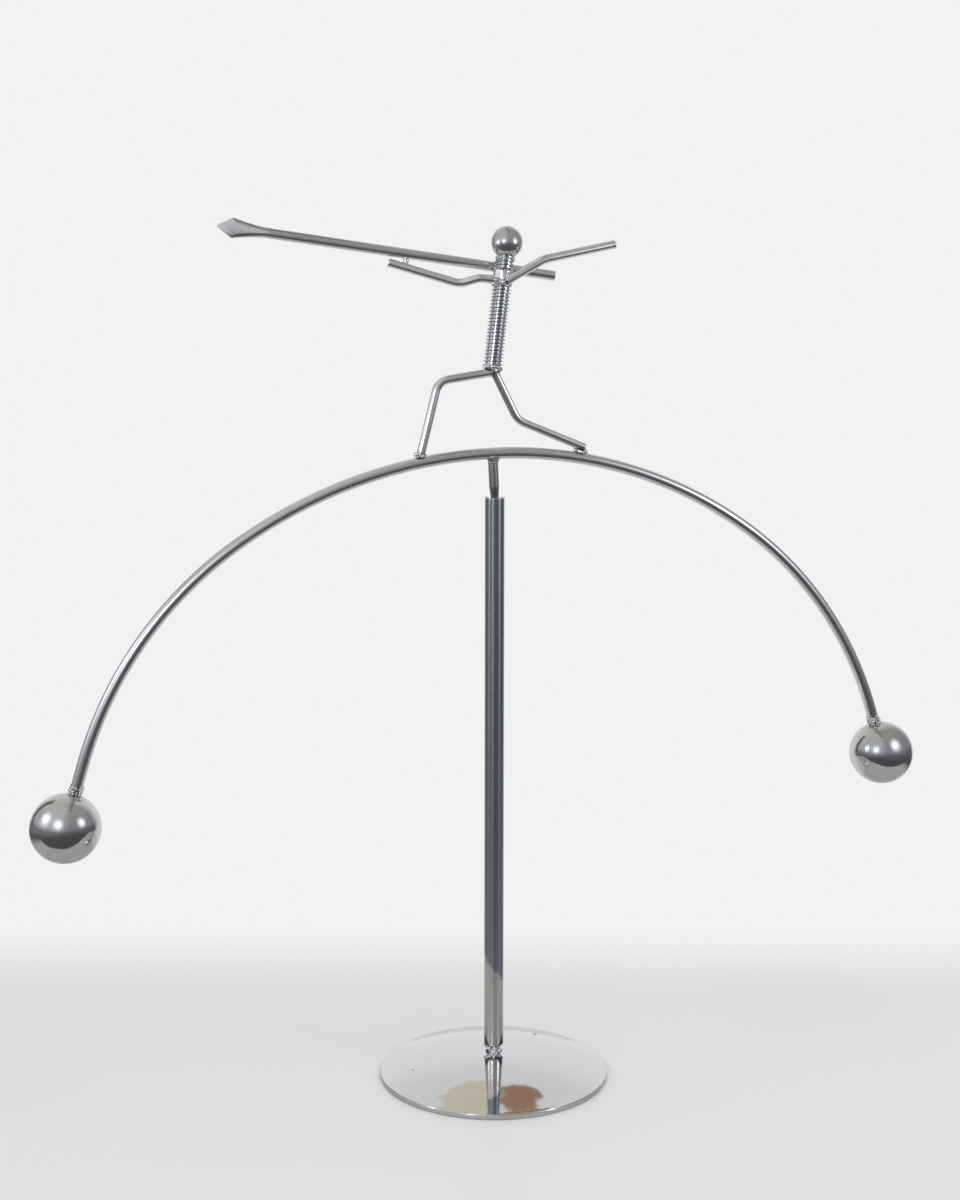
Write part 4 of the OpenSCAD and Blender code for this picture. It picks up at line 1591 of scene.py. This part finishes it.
    def stud(self) -> Object:
        """Screws a thread tooth up the torso's axis and cuts both ends square.

        Returns:
            The threaded stud.
        """
        pitch = self.thread_pitch
        depth = self.THREAD_DEPTH * pitch
        tooth = [(self.torso_r - below * depth, up * pitch) for below, up in self.TOOTH]
        Bench.clear()
        bpy.ops.mesh.primitive_plane_add(size=0.1, location=(tooth[0][0], 0, 0))
        stud = Bench.adopt("torso_stud_dressed")
        with Bench.editing(stud):
            bpy.ops.mesh.select_all(action="SELECT")
            bpy.ops.mesh.merge(type="CENTER")
            for here, there in zip(tooth, tooth[1:]):
                bpy.ops.mesh.extrude_vertices_move(
                    TRANSFORM_OT_translate={"value": (there[0] - here[0], 0, there[1] - here[1])})
        turns = math.ceil((self.torso_top - self.limb_r) / pitch) + 3
        Bench.modifier(stud, "SCREW", steps=48, render_steps=48, screw_offset=pitch, iterations=turns,
                       use_smooth_shade=True, use_normal_calculate=True)
        Bench.close(stud)
        low, high = 1.5 * pitch, 1.5 * pitch + self.torso_top - self.limb_r
        Bench.cut(stud, Vector((0, 0, low)), -Z_AXIS)
        Bench.cut(stud, Vector((0, 0, high)), Z_AXIS)
        Bench.close(stud)
        lean = Matrix.Rotation(math.radians(self.torso_lean), 4, "Y")
        foot = Matrix.Translation(self.torso_point(self.limb_r))
        stud.matrix_world = foot @ lean @ Matrix.Translation((0, 0, -low))
        Bench.apply(stud)
        Bench.smooth(stud, 24)
        return stud

    def head(self) -> Object:
        """Makes the head ball.

        Returns:
            The head.
        """
        Bench.clear()
        bpy.ops.mesh.primitive_uv_sphere_add(segments=96, ring_count=60, radius=self.head_d / 2,
                                             location=self.head_at, rotation=turn_to(self.up))
        head = Bench.adopt("head_ball_dressed")
        Bench.smooth(head)
        return head

    def arms(self) -> tuple[Object, Object]:
        """Bends both arms.

        Returns:
            The front arm and the rear arm.
        """
        ahead = self.front_arm_ahead
        seated = self.torso_r * 0.95 * leftward(self.front_upper_rise)
        front_path = [self.front_shoulder + seated - ahead * Y_AXIS,
                      self.front_corner - ahead * Y_AXIS,
                      self.front_elbow + (self.front_elbow_back - ahead) * Y_AXIS,
                      self.front_hand + self.spear_y * Y_AXIS]
        front = self.rod_through("front_arm_dressed", front_path, self.front_elbow_r)
        before = -(self.torso_r + self.limb_r + 0.02)
        rear_path = [self.rear_shoulder + before * Y_AXIS,
                     self.rear_elbow + (before + self.rear_elbow_back) * Y_AXIS,
                     self.rear_hand + (before + self.rear_hand_back) * Y_AXIS]
        rear = self.rod_through("rear_arm_dressed", rear_path, self.rear_elbow_r, flare=1.1)
        return front, rear

    def welds(self) -> dict[str, Object]:
        """Lays the figure's welds.

        Returns:
            Each weld by the node that it stands for.
        """
        shin_up = (self.front_knee - self.front_foot).normalized()
        front_foot = Weld("front_foot_weld_dressed", seed=31, voxel=0.14)
        front_foot.ring(self.front_foot + 0.1 * shin_up, shin_up, self.limb_r + 0.3, 8, 0.95, 0.25)
        rear_foot = Weld("rear_foot_weld_dressed", seed=32, voxel=0.14)
        for degrees, radius in ((-1.2, 1.2), (0.1, 1.3)):
            rear_foot.bead(self.arch.point(self.rear_foot_at + degrees, self.arch.rod_d / 2 + 0.4), radius)
        hip = Weld("hip_weld_dressed", seed=33, voxel=0.14)
        hip.ring(self.torso_point(self.limb_r), self.up, self.torso_r - 0.6, 14, 0.96, 0.2)
        for across, up, back, radius in ((0.6, 0.3, -0.5, 1.5), (0.6, 0.3, 0.5, 1.5), (-1.4, 0.4, 0.5, 1.3)):
            hip.bead(self.hip + self.limb_r * in_plane(across, up, back), radius)
        neck = Weld("neck_weld_dressed", seed=34, voxel=0.13)
        neck.rings(lambda lift: self.torso_point(self.torso_top + lift), self.up, self.torso_r,
                   self.NECK_RINGS)
        shoulder = Weld("shoulder_weld_dressed", seed=35, voxel=0.14)
        front, rear = self.front_shoulder_at, self.rear_shoulder_at
        r, limb = self.torso_r, self.limb_r
        for at, across, up, y, radius in (
                (front, 0.2 - r, limb * 0.6, 0, 1.15), (front, 0.2 - r, -limb * 0.6, -0.6, 1.1),
                (front, -r * 0.7, 0, -r * 0.75, 1.2), (rear + 1.2, 0, 0, 0.2 - r, 1.2),
                (rear + 2.6, r * 0.3, 0, 0.3 - r, 1.0), (rear, -limb * 0.6, -0.2, 0.2 - r, 1.2)):
            shoulder.bead(self.torso_point(at) + in_plane(across, up, y), radius)
        shoulder.bead(self.torso_point(rear) + in_plane(-limb * 0.5, -0.3, -r - limb * 0.7), 1.25)
        for step in range(self.COLLAR_ROWS):
            level = self.torso_point(self.COLLAR_FROM + self.COLLAR_STEP * step)
            for degrees in range(-90, 60, 12):
                out = Quaternion(self.up, math.radians(degrees)) @ -Y_AXIS
                shoulder.bead(level + (r - self.COLLAR_INSET) * out, 1.0)
        return {"front_foot_weld": front_foot.finish(), "rear_foot_weld": rear_foot.finish(),
                "hip_weld": hip.finish(), "neck_weld": neck.finish(),
                "shoulder_weld": shoulder.finish(soften=5)}

    def build(self) -> None:
        """Builds and dresses the figure."""
        seat, heat = self.finisher.seat, self.finisher.heat
        hip, foot = heat(self.hip, 0.0038), heat(self.front_foot, 0.0032)
        toe = heat(self.arch.point(self.arch.FOOT_TINTS[1], 3.0), 0.0032)
        shoulder = heat(self.torso_point(self.rear_shoulder_at, -self.torso_r), 0.0042)
        neck = heat(self.torso_point(self.torso_top), 0.0042)
        # Arms and legs are one steel in one slot: the arms' copy is painted lighter, as painted light
        leg_steel = limb_steel("leg steel", 0.80, 0.72, 0.15, 0.05, hip, foot, toe)
        arm_steel_painted_lighter = limb_steel("arm steel", 0.88, 0.80, 0.16, 0.03, shoulder)
        stud = PolishedSteel("stud steel", colour=(0.57, 0.575, 0.59), roughness=0.11, marks=0.06, bump=0.0,
                             heats=(hip,)).material()
        head = PolishedSteel("head steel", roughness=0.06, marks=0.06, bump=0.03, across=300.0, along=300.0,
                             haze=0.12, heats=(neck,)).material()
        for limbs, steel, kind in ((self.legs(), leg_steel, "leg"), (self.arms(), arm_steel_painted_lighter, "arm")):
            for piece, place in zip(limbs, ("front", "rear")):
                seat(piece, Body.BALANCE, Slot.LIMBS, steel, f"{place}_{kind}")
        seat(self.stud(), Body.BALANCE, Slot.STUD, stud, "torso_stud")
        seat(self.head(), Body.BALANCE, Slot.HEAD, head, "head_ball")
        metal = WeldMetal("figure weld metal", dark=(0.45, 0.45, 0.47)).material()
        for node, weld in self.welds().items():
            seat(weld, Body.BALANCE, Slot.WELDS, metal, node)


@dataclass
class Spear:
    """The spear with its hammered blade, and its welds to the torso and the front hand."""

    BLADE_RINGS: ClassVar[int] = 14
    FLAT_SLANT: ClassVar[float] = 4.2
    FLAT_AT: ClassVar[float] = 0.36

    finisher: Finisher
    figure: Figure
    shaft_d: float = 4.0
    length: float = 135.3
    at: float = 41.9
    tail_len: float = 22.7
    slope: float = 9.3
    blade_len: float = 18.3
    blade_w: float = 7.9
    blade_point: float = 5.8
    blade_t: float = 1.5
    tip_w: float = 0.8
    hand_weld_back: float = 7.0

    def __post_init__(self) -> None:
        """Works out the spear's line."""
        self.along = leftward(self.slope)
        self.back = self.figure.spear_y * Y_AXIS
        self.end = self.figure.torso_point(self.at) - self.tail_len * self.along + self.back
        self.tip = self.end + self.length * self.along
        forearm = leftward(self.figure.front_forearm_rise)
        self.hand = self.figure.front_hand - self.hand_weld_back * forearm + self.back

    def flank(self, x: float) -> float:
        """Share of the way from the blade's corners to its neck."""
        return max(0.0, (x - self.blade_point) / (self.blade_len - self.blade_point))

    def half_width(self, x: float) -> float:
        """Half the width at a distance from the point."""
        if x < self.blade_point:
            return self.tip_w / 2 + (self.blade_w - self.tip_w) / 2 * x / self.blade_point
        return self.shaft_d / 2 + (self.blade_w - self.shaft_d) / 2 * max(0.0, 1 - self.flank(x)) ** 1.4

    def half_thickness(self, x: float) -> float:
        """Half the thickness, before the flats, at a distance from the point."""
        body = self.blade_t * 0.95
        return body + (self.shaft_d / 2 - body) * min(1.0, self.flank(x)) ** 1.5

    def spear(self) -> Object:
        """Draws the shaft out, spreads its end and hammers both faces flat.

        Returns:
            The spear.
        """
        Bench.clear()
        bpy.ops.mesh.primitive_circle_add(vertices=40, radius=1.0, fill_type="NOTHING",
                                          rotation=turn_to(X_AXIS))
        spear = Bench.adopt("spear_dressed")
        stops = [0.0, self.blade_point * 0.5, self.blade_point - 0.01, self.blade_point + 0.01]
        stops += [self.blade_point + (self.blade_len - self.blade_point) * step / self.BLADE_RINGS
                  for step in range(1, self.BLADE_RINGS + 1)]
        stops += [self.length]
        with Bench.editing(spear):
            bpy.ops.mesh.select_all(action="SELECT")
            scale = Vector((1, self.half_thickness(0), self.half_width(0)))
            bpy.ops.transform.resize(value=scale, center_override=(0, 0, 0))
            for here, there in zip(stops, stops[1:]):
                bpy.ops.mesh.extrude_region_move(TRANSFORM_OT_translate={"value": (there - here, 0, 0)})
                ratio = (1, self.half_thickness(there) / self.half_thickness(here),
                         self.half_width(there) / self.half_width(here))
                bpy.ops.transform.resize(value=ratio, center_override=(there, 0, 0))
            bpy.ops.mesh.select_all(action="SELECT")
            bpy.ops.mesh.fill_holes(sides=0)
        Bench.close(spear)
        slant = math.radians(self.FLAT_SLANT)
        for sign in (-1, 1):
            away = Vector((-math.sin(slant), sign * math.cos(slant), 0))
            Bench.cut(spear, Vector((0, sign * self.blade_t * self.FLAT_AT, 0)), away)
        Bench.close(spear)
        turn = Matrix((self.tip_axis(), Y_AXIS, self.tip_axis().cross(Y_AXIS))).transposed().to_4x4()
        spear.matrix_world = Matrix.Translation(self.tip) @ turn
        Bench.apply(spear)
        Bench.smooth(spear, 22)
        return spear

    def tip_axis(self) -> Vector:
        """Direction from the point back along the shaft."""
        return -self.along

    def welds(self) -> tuple[Object, Object]:
        """Lays the welds at the torso's back and at the front hand.

        Returns:
            The back weld and the hand weld.
        """
        figure = self.figure
        back = Weld("back_weld_dressed", seed=41, voxel=0.14)
        for sign in (-1, 1):
            place = figure.torso_point(self.at - sign * (self.shaft_d / 2 + 0.4), figure.torso_r + 0.6)
            back.bead(place, 1.3)
        high = self.end + (self.hand - self.end).dot(self.along) * self.along
        hand = Weld("hand_weld_dressed", seed=42, voxel=0.14)
        for share in (0.3, 0.5, 0.7):
            hand.bead(self.hand.lerp(high, share), 1.15)
        return back.finish(), hand.finish()

    def build(self) -> None:
        """Builds and dresses the spear."""
        seat, heat = self.finisher.seat, self.finisher.heat
        heats = (heat(self.hand, 0.0035), heat(self.figure.torso_point(self.at) + self.back, 0.005))
        neck = self.finisher.where(self.tip + (self.blade_len + 2) * self.tip_axis())[0]
        steel = HammeredSteel("spear steel", colour=(0.68, 0.68, 0.68), shade=(0.58, 0.58, 0.58), roughness=0.11,
                              marks=0.05, bump=0.02, across=700.0, along=30.0, haze=0.08, heats=heats,
                              neck=neck).material()
        seat(self.spear(), Body.BALANCE, Slot.SPEAR, steel, "spear")
        metal = WeldMetal("spear weld metal").material()
        back, hand_weld = self.welds()
        seat(back, Body.BALANCE, Slot.WELDS, metal, "back_weld")
        seat(hand_weld, Body.BALANCE, Slot.WELDS, metal, "hand_weld")


@dataclass
class Studio:
    """Plain pale floor and backdrop, the plain room and lamps that the metal mirrors, and the camera."""

    # Where the pale floor fades into the backdrop: by distance from the toy, and by place towards the camera
    FADE_AWAY: ClassVar[Span] = (0.22, 0.55)
    FADE_BEHIND: ClassVar[Span] = (-0.2, -0.09)
    # The floor that metal mirrors is a table: its edge is soft, wavy and rounded to the right
    EDGE_BLUR: ClassVar[float] = 0.008
    EDGE_WAVES: ClassVar[float] = 0.05
    EDGE_ROUNDING: ClassVar[float] = 0.65
    FAR_SIDE: ClassVar[Span] = (0.32, 0.5)
    FAR_TURN: ClassVar[Span] = (-0.74, -0.5)
    # Painted shade on the floor as metal sees it: a share of dark tones that falls from floor_dim to this much
    # behind the toy
    SHADED_TURN: ClassVar[Span] = (-0.9, -0.6)
    SHADED_DIM: ClassVar[float] = 0.1
    NEAR_TONE: ClassVar[Colour] = (0.085, 0.083, 0.09)
    LEFT_TONE: ClassVar[Colour] = (0.21, 0.205, 0.22)
    RIGHT_TONE: ClassVar[Colour] = (0.13, 0.128, 0.14)
    LEAST: ClassVar[float] = 0.001

    # Where the room's walls meet, in degrees from the front towards the right
    ROOM_CORNERS: ClassVar[tuple[float, ...]] = (-140.0, -10.0, 120.0)
    CORNER_BLEND: ClassVar[float] = 15.0
    # Tones of the bright wall behind, the left wall and the dim right wall, from the floor up to the roof
    ROOM_TONES: ClassVar[tuple[tuple[float, float, float], ...]] = (
        (0.85, 0.20, 0.15), (0.85, 0.50, 0.30), (0.75, 0.60, 0.35), (0.65, 0.60, 0.40))
    # Where each tone gives way to the one above it, in degrees of height, and then to the roof's halves
    TONE_STEPS: ClassVar[tuple[Span, ...]] = ((-7, 7), (14, 34), (38, 60))
    ROOF_FROM: ClassVar[Span] = (66, 80)
    ROOF_HALVES: ClassVar[tuple[float, float]] = (0.57, 0.38)
    ROOF_SEAM: ClassVar[float] = 0.06
    # Tint of the room: bluish up to 18 degrees of height, warm from 54, and none on the wall behind
    TINTS: ClassVar[tuple[tuple[float, Colour], ...]] = ((0.6, (1.0, 1.0, 1.1)), (0.8, (1.0, 1.0, 0.95)))
    BEHIND_TINT: ClassVar[Colour] = (1.0, 1.0, 1.01)
    BEHIND_FROM: ClassVar[Span] = (125, 150)
    # Upright things in the room: azimuth, half width, lowest and highest degree, colour
    UPRIGHTS: ClassVar[tuple[tuple[float, float, float, float, Colour], ...]] = (
        (-140, 6, -30, 50, (0.46, 0.37, 0.26)), (-132, 7, -34, 50, (0.10, 0.10, 0.11)))
    UPRIGHT_EASE: ClassVar[float] = 8
    # Things under the roof: azimuth, height in degrees, half width in degrees, colour
    PATCHES: ClassVar[tuple[tuple[float, float, float, Colour], ...]] = (
        (171, 45, 9, (0.64, 0.59, 0.48)), (155, 42, 5, (0.34, 0.21, 0.14)), (155, 48, 5, (0.34, 0.21, 0.14)))
    PATCH_RAGGED: ClassVar[float] = 0.14
    BEAM_AT: ClassVar[tuple[float, float, float]] = (0.05, 0.0, 0.87)
    BEAM_SIZE: ClassVar[tuple[float, float, float]] = (0.08, 0.58, 1)
    BEAM_TONE: ClassVar[Colour] = (0.27, 0.22, 0.19)

    # Lamps that show on the balls: name, place, diameter, watts, radius of the halo
    SMALL_LAMPS: ClassVar[tuple[tuple[str, tuple[float, float, float], float, float, float], ...]] = (
        ("left", (-0.50, -0.08, 0.33), 0.075, 0.12, 0.28),
        ("by_camera", (-0.42, -0.55, 0.39), 0.11, 0.25, 0.40),
        ("right", (0.39, -0.36, 0.38), 0.09, 0.20, 0.35))
    HALO_TONE: ClassVar[Colour] = (0.86, 0.93, 1.0)
    HALO_STRENGTH: ClassVar[float] = 2.2
    HALO_FALL: ClassVar[float] = 2.2
    HALO_BACK: ClassVar[float] = 0.02

    middle: tuple[float, float, float] = (0.0, 0.0, 0.2)
    lamps_aim: tuple[float, float, float] = (0.0, 0.0, 0.15)
    pale: float = 0.885
    daylight: Colour = (0.72, 0.73, 0.75)
    floor_colour: Colour = (0.77, 0.763, 0.742)
    # Share of painted shade on the floor as metal sees it
    floor_dim: float = 0.4
    table_edge: float = 0.124
    camera_at: tuple[float, float, float] = (-0.16389, -0.60581, 0.25848)
    camera_heading: tuple[float, float] = (0.2521, 0.9677)
    camera_pitch: float = 5.555
    camera_roll: float = 0.067
    lens: float = 46.8

    def world(self) -> None:
        """Sets the backdrop that camera and metal see, and a plain level of light."""
        world = bpy.data.worlds.new("backdrop")
        world.use_nodes = True
        world.node_tree.nodes.clear()
        bench = NodeBench(world.node_tree)
        path = bench.add("ShaderNodeLightPath")
        seen = bench.math("ADD", path.outputs["Is Camera Ray"], path.outputs["Is Glossy Ray"])
        seen = bench.math("ADD", seen, path.outputs["Is Transmission Ray"], clamp=True)
        light = bench.add("ShaderNodeBackground", {"Color": (*self.daylight, 1), "Strength": 1.0})
        shown = bench.add("ShaderNodeBackground", {"Color": (self.pale, self.pale, self.pale, 1),
                                                   "Strength": 1.0})
        both = bench.add("ShaderNodeMixShader", {0: seen, 1: light.outputs[0], 2: shown.outputs[0]})
        bench.add("ShaderNodeOutputWorld", {0: both.outputs[0]})
        bpy.context.scene.world = world

    def _table(self, bench: NodeBench, place: NodeSocket, ahead: NodeSocket,
               away: NodeSocket) -> tuple[NodeSocket, NodeSocket]:
        """Works out where metal sees past the table, the painted shade that dims the floor for metal, and the
        dark tones of both.

        Args:
            bench: The floor material's bench.
            place: Object coordinates.
            ahead: Distance towards the camera.
            away: Distance from the toy.

        Returns:
            The share of the dark tones, for what lies past the table and as painted shade on the floor, and
            their colour.
        """
        x, y = self.camera_heading
        side = bench.vector_math("DOT_PRODUCT", place, (y, -x, 0)).outputs["Value"]
        to_right = bench.math("MAXIMUM", side, 0.0)
        rounded = bench.math("MULTIPLY", bench.math("MULTIPLY", to_right, to_right), self.EDGE_ROUNDING)
        wavy = bench.around_zero(bench.noise(place, 12.0, Detail=2.0), self.EDGE_WAVES)
        reach = bench.math("ADD", bench.math("ADD", ahead, rounded), wavy)
        front = bench.span(reach, self.table_edge - self.EDGE_BLUR, self.table_edge + self.EDGE_BLUR)
        distance = bench.math("ADD", away, self.LEAST)
        turn = bench.math("DIVIDE", ahead, distance)
        far = bench.math("MULTIPLY", bench.span(away, *self.FAR_SIDE), bench.span(turn, *self.FAR_TURN))
        past = bench.math("MAXIMUM", front, far)
        # Painted shade: metal sees the floor mixed with the dark tones
        shaded = bench.span(turn, *self.SHADED_TURN, self.SHADED_DIM, self.floor_dim)
        share = bench.math("ADD", bench.math("MULTIPLY", past, bench.math("SUBTRACT", 1.0, shaded)), shaded)
        across = bench.span(bench.math("DIVIDE", side, distance), -0.8, 0.1)
        tones = bench.mix(across, (*self.LEFT_TONE, 1), (*self.RIGHT_TONE, 1))
        return share, bench.mix(bench.span(away, 0.3, 1.0), (*self.NEAR_TONE, 1), tones)

    def floor(self) -> None:
        """Lays the pale floor, which fades into the backdrop and, for metal, is dimmed by painted shade and ends
        at a dark edge.
        """
        Bench.clear()
        bpy.ops.mesh.primitive_circle_add(vertices=96, radius=4.0, fill_type="NGON", location=(0, 0, 0))
        floor = Bench.adopt("floor")
        material, bench = blank_material("pale floor")
        place = bench.add("ShaderNodeTexCoord").outputs["Object"]
        x, y = self.camera_heading
        ahead = bench.vector_math("DOT_PRODUCT", place, (-x, -y, 0)).outputs["Value"]
        away = bench.vector_math("LENGTH", place).outputs["Value"]
        lit = bench.add("ShaderNodeBsdfPrincipled", {"Base Color": (*self.floor_colour, 1), "Roughness": 0.35,
                                                     "Specular IOR Level": 0.25})
        shown = bench.add("ShaderNodeEmission", {"Color": (self.pale, self.pale, self.pale, 1)})
        behind = bench.span(ahead, *self.FADE_BEHIND, 1.0, 0.0)
        faded = bench.math("MAXIMUM", bench.span(away, *self.FADE_AWAY), behind)
        sweep = bench.add("ShaderNodeMixShader", {0: faded, 1: lit.outputs[0], 2: shown.outputs[0]})
        share, tones = self._table(bench, place, ahead, away)
        dark = bench.add("ShaderNodeEmission", {"Color": tones})
        past_table_and_painted_shade = bench.math("MULTIPLY", share, bench.add("ShaderNodeLightPath").outputs["Is Glossy Ray"])
        both = bench.add("ShaderNodeMixShader", {0: past_table_and_painted_shade, 1: sweep.outputs[0], 2: dark.outputs[0]})
        bench.add("ShaderNodeOutputMaterial", {0: both.outputs[0]})
        floor.data.materials.append(material)

    def _only_for_metal(self, piece: Object, material: Material) -> None:
        """Dresses a piece of the studio and lets only polished metal show it.

        Args:
            piece: The piece.
            material: Its material.
        """
        piece.data.materials.append(material)
        for ray in ("camera", "diffuse", "transmission", "volume_scatter", "shadow"):
            setattr(piece, f"visible_{ray}", False)

    def _round_the_room(self, behind: float, left: float, right: float) -> Band:
        """Lists the tones met on the way round the room at one height.

        Args:
            behind: Tone of the wall behind the object.
            left: Tone of the left wall.
            right: Tone of the right wall.

        Returns:
            Pairs of degrees and tone.
        """
        stops = [(-180.0, behind)]
        for corner, before, after in zip(self.ROOM_CORNERS, (behind, left, right), (left, right, behind)):
            stops += [(corner - self.CORNER_BLEND, before), (corner + self.CORNER_BLEND, after)]
        return (*stops, (180.0, behind))

    def _walls(self, bench: NodeBench, across: NodeSocket, rise: NodeSocket,
               azimuth: NodeSocket) -> NodeSocket:
        """Tones of the room's walls and roof.

        Args:
            bench: The room material's bench.
            across: Share of the way to the right.
            rise: Height in degrees.
            azimuth: Degrees from the front towards the right.

        Returns:
            The colour's socket.
        """
        share = bench.math("ADD", bench.math("DIVIDE", azimuth, 360), 0.5)
        bands = [bench.ramp(share, [((degrees + 180) / 360, (tone, tone, tone))
                                    for degrees, tone in self._round_the_room(*tones)])
                 for tones in self.ROOM_TONES]
        colour = bands[0]
        for step, band in zip(self.TONE_STEPS, bands[1:]):
            colour = bench.mix(bench.span(rise, *step), colour, band)
        left, right = ((tone, tone, tone, 1) for tone in self.ROOF_HALVES)
        roof = bench.mix(bench.span(across, -self.ROOF_SEAM, self.ROOF_SEAM), left, right)
        colour = bench.mix(bench.span(rise, *self.ROOF_FROM), colour, roof)
        tint = bench.ramp(bench.math("ADD", bench.math("DIVIDE", rise, 180), 0.5), self.TINTS)
        behind = bench.span(bench.math("ABSOLUTE", azimuth), *self.BEHIND_FROM)
        tint = bench.mix(behind, tint, (*self.BEHIND_TINT, 1))
        return bench.vector_math("MULTIPLY", colour, tint).outputs[0]

    def room(self) -> None:
        """Sets up the dim room round the toy, which only its polished metal shows."""
        Bench.clear()
        bpy.ops.mesh.primitive_uv_sphere_add(segments=96, ring_count=48, radius=1.3, location=(0, 0, 0))
        room = Bench.adopt("room")
        material, bench = blank_material("dim room")
        place = bench.add("ShaderNodeTexCoord").outputs["Object"]
        out = bench.vector_math("SUBTRACT", place, self.middle).outputs[0]
        towards = bench.vector_math("NORMALIZE", out).outputs[0]
        parts = bench.add("ShaderNodeSeparateXYZ", {0: towards}).outputs
        rise = bench.math("DEGREES", bench.math("ARCSINE", parts[2]))
        turn = bench.math("ARCTAN2", parts[0], bench.math("MULTIPLY", parts[1], -1.0))
        azimuth = bench.math("DEGREES", turn)
        colour = self._walls(bench, parts[0], rise, azimuth)
        for middle, half, low, high, shade in self.UPRIGHTS:
            aside = bench.math("ABSOLUTE", bench.math("SUBTRACT", azimuth, middle))
            wide = bench.span(aside, half * 0.4, half, 1.0, 0.0)
            tall = bench.math("MULTIPLY", bench.span(rise, low, low + self.UPRIGHT_EASE),
                              bench.span(rise, high - self.UPRIGHT_EASE, high, 1.0, 0.0))
            colour = bench.mix(bench.math("MULTIPLY", wide, tall), colour, (*shade, 1))
        ragged = bench.around_zero(bench.noise(out, 14.0, Detail=4.0, Roughness=0.6), self.PATCH_RAGGED)
        for middle, height, half, shade in self.PATCHES:
            turn, lift, size = (math.radians(degrees) for degrees in (middle, height, half))
            centre = (math.sin(turn) * math.cos(lift), -math.cos(turn) * math.cos(lift), math.sin(lift))
            away = bench.vector_math("DISTANCE", towards, centre).outputs["Value"]
            here = bench.span(bench.math("ADD", away, ragged), size * 0.9, size * 1.1, 1.0, 0.0)
            colour = bench.mix(here, colour, (*shade, 1))
        glow = bench.add("ShaderNodeEmission", {"Color": colour})
        bench.add("ShaderNodeOutputMaterial", {0: glow.outputs[0]})
        self._only_for_metal(room, material)

    def beam(self) -> None:
        """Hangs a brown beam overhead, which only polished metal shows."""
        Bench.clear()
        bpy.ops.mesh.primitive_plane_add(size=1.0, location=self.BEAM_AT)
        beam = Bench.adopt("beam_above")
        with Bench.editing(beam):
            bpy.ops.mesh.select_all(action="SELECT")
            bpy.ops.transform.resize(value=self.BEAM_SIZE, center_override=self.BEAM_AT)
        material, bench = blank_material("brown beam")
        glow = bench.add("ShaderNodeEmission", {"Color": (*self.BEAM_TONE, 1)})
        bench.add("ShaderNodeOutputMaterial", {0: glow.outputs[0]})
        self._only_for_metal(beam, material)

    def halo(self, name: str, at: Vector, radius: float) -> None:
        """Hangs a soft halo behind a lamp, which only polished metal shows.

        Args:
            name: Its name.
            at: The lamp's place.
            radius: Radius of the halo.
        """
        back = (at - Vector(self.middle)).normalized()
        place = at + back * self.HALO_BACK
        Bench.clear()
        bpy.ops.mesh.primitive_circle_add(vertices=48, radius=radius, fill_type="NGON", location=place,
                                          rotation=turn_to(back))
        halo = Bench.adopt(name)
        material, bench = blank_material(name)
        where = bench.add("ShaderNodeTexCoord").outputs["Object"]
        away = bench.vector_math("DISTANCE", where, tuple(place)).outputs["Value"]
        share = bench.math("POWER", bench.span(away, 0.0, radius, 1.0, 0.0), self.HALO_FALL)
        glow = bench.add("ShaderNodeEmission", {"Color": (*self.HALO_TONE, 1),
                                                "Strength": self.HALO_STRENGTH})
        clear = bench.add("ShaderNodeBsdfTransparent")
        both = bench.add("ShaderNodeMixShader", {0: share, 1: clear.outputs[0], 2: glow.outputs[0]})
        bench.add("ShaderNodeOutputMaterial", {0: both.outputs[0]})
        self._only_for_metal(halo, material)

    def lamp(self, name: str, at: tuple[float, float, float], size: float, power: float,
             seen: bool = True) -> None:
        """Sets one soft lamp, turned to the toy.

        Args:
            name: Its name.
            at: Where it stands.
            size: Its diameter.
            power: Its power in watts.
            seen: Whether polished metal shows it.
        """
        Bench.clear()
        towards_toy = turn_to(Vector(at) - Vector(self.lamps_aim))
        bpy.ops.object.light_add(type="AREA", location=at, rotation=towards_toy)
        lamp = bpy.context.object
        lamp.name = name
        lamp.data.shape = "DISK"
        lamp.data.size = size
        lamp.data.energy = power
        lamp.visible_glossy = seen

    def lamps(self) -> None:
        """Sets the three small lamps that show on the balls, each in its halo, and a broad one above."""
        for name, at, size, power, reach in self.SMALL_LAMPS:
            self.lamp(f"lamp_{name}", at, size, power)
            self.halo(f"halo_{name}", Vector(at), reach)
        self.lamp("lamp_above", (0.25, -0.5, 1.5), 0.9, 5.0, seen=False)

    def camera(self) -> None:
        """Sets the camera at the photograph's viewing angle."""
        pitch = math.radians(self.camera_pitch)
        flat = Vector((*self.camera_heading, 0)).normalized()
        gaze = flat * math.cos(pitch) - Z_AXIS * math.sin(pitch)
        Bench.clear()
        turn = gaze.to_track_quat("-Z", "Y") @ Quaternion(Z_AXIS, math.radians(self.camera_roll))
        bpy.ops.object.camera_add(location=self.camera_at, rotation=turn.to_euler())
        camera = bpy.context.object
        camera.name = "camera"
        camera.data.lens = self.lens
        camera.data.sensor_width = 36.0
        camera.data.clip_start = 0.01
        bpy.context.scene.camera = camera

    def build(self) -> None:
        """Sets up the studio."""
        self.world()
        self.floor()
        self.room()
        self.beam()
        self.lamps()
        self.camera()
        bpy.context.scene.view_settings.view_transform = "Standard"


def main() -> None:
    """Builds the whole toy and its studio round the frame."""
    logging.basicConfig(level=logging.INFO, format="%(name)s: %(message)s")
    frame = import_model()
    finisher = Finisher.from_frame(frame)
    Studio().build()
    Stand(finisher).build()
    arch = Arch(finisher)
    arch.build()
    figure = Figure(finisher, arch)
    figure.build()
    Spear(finisher, figure).build()
    nose = frame["nodes"]["pivot_tip"]
    nose.data.materials.clear()
    nose.data.materials.append(PolishedSteel("nose steel", colour=(0.5, 0.51, 0.53)).material())


if __name__ == "__main__":
    main()
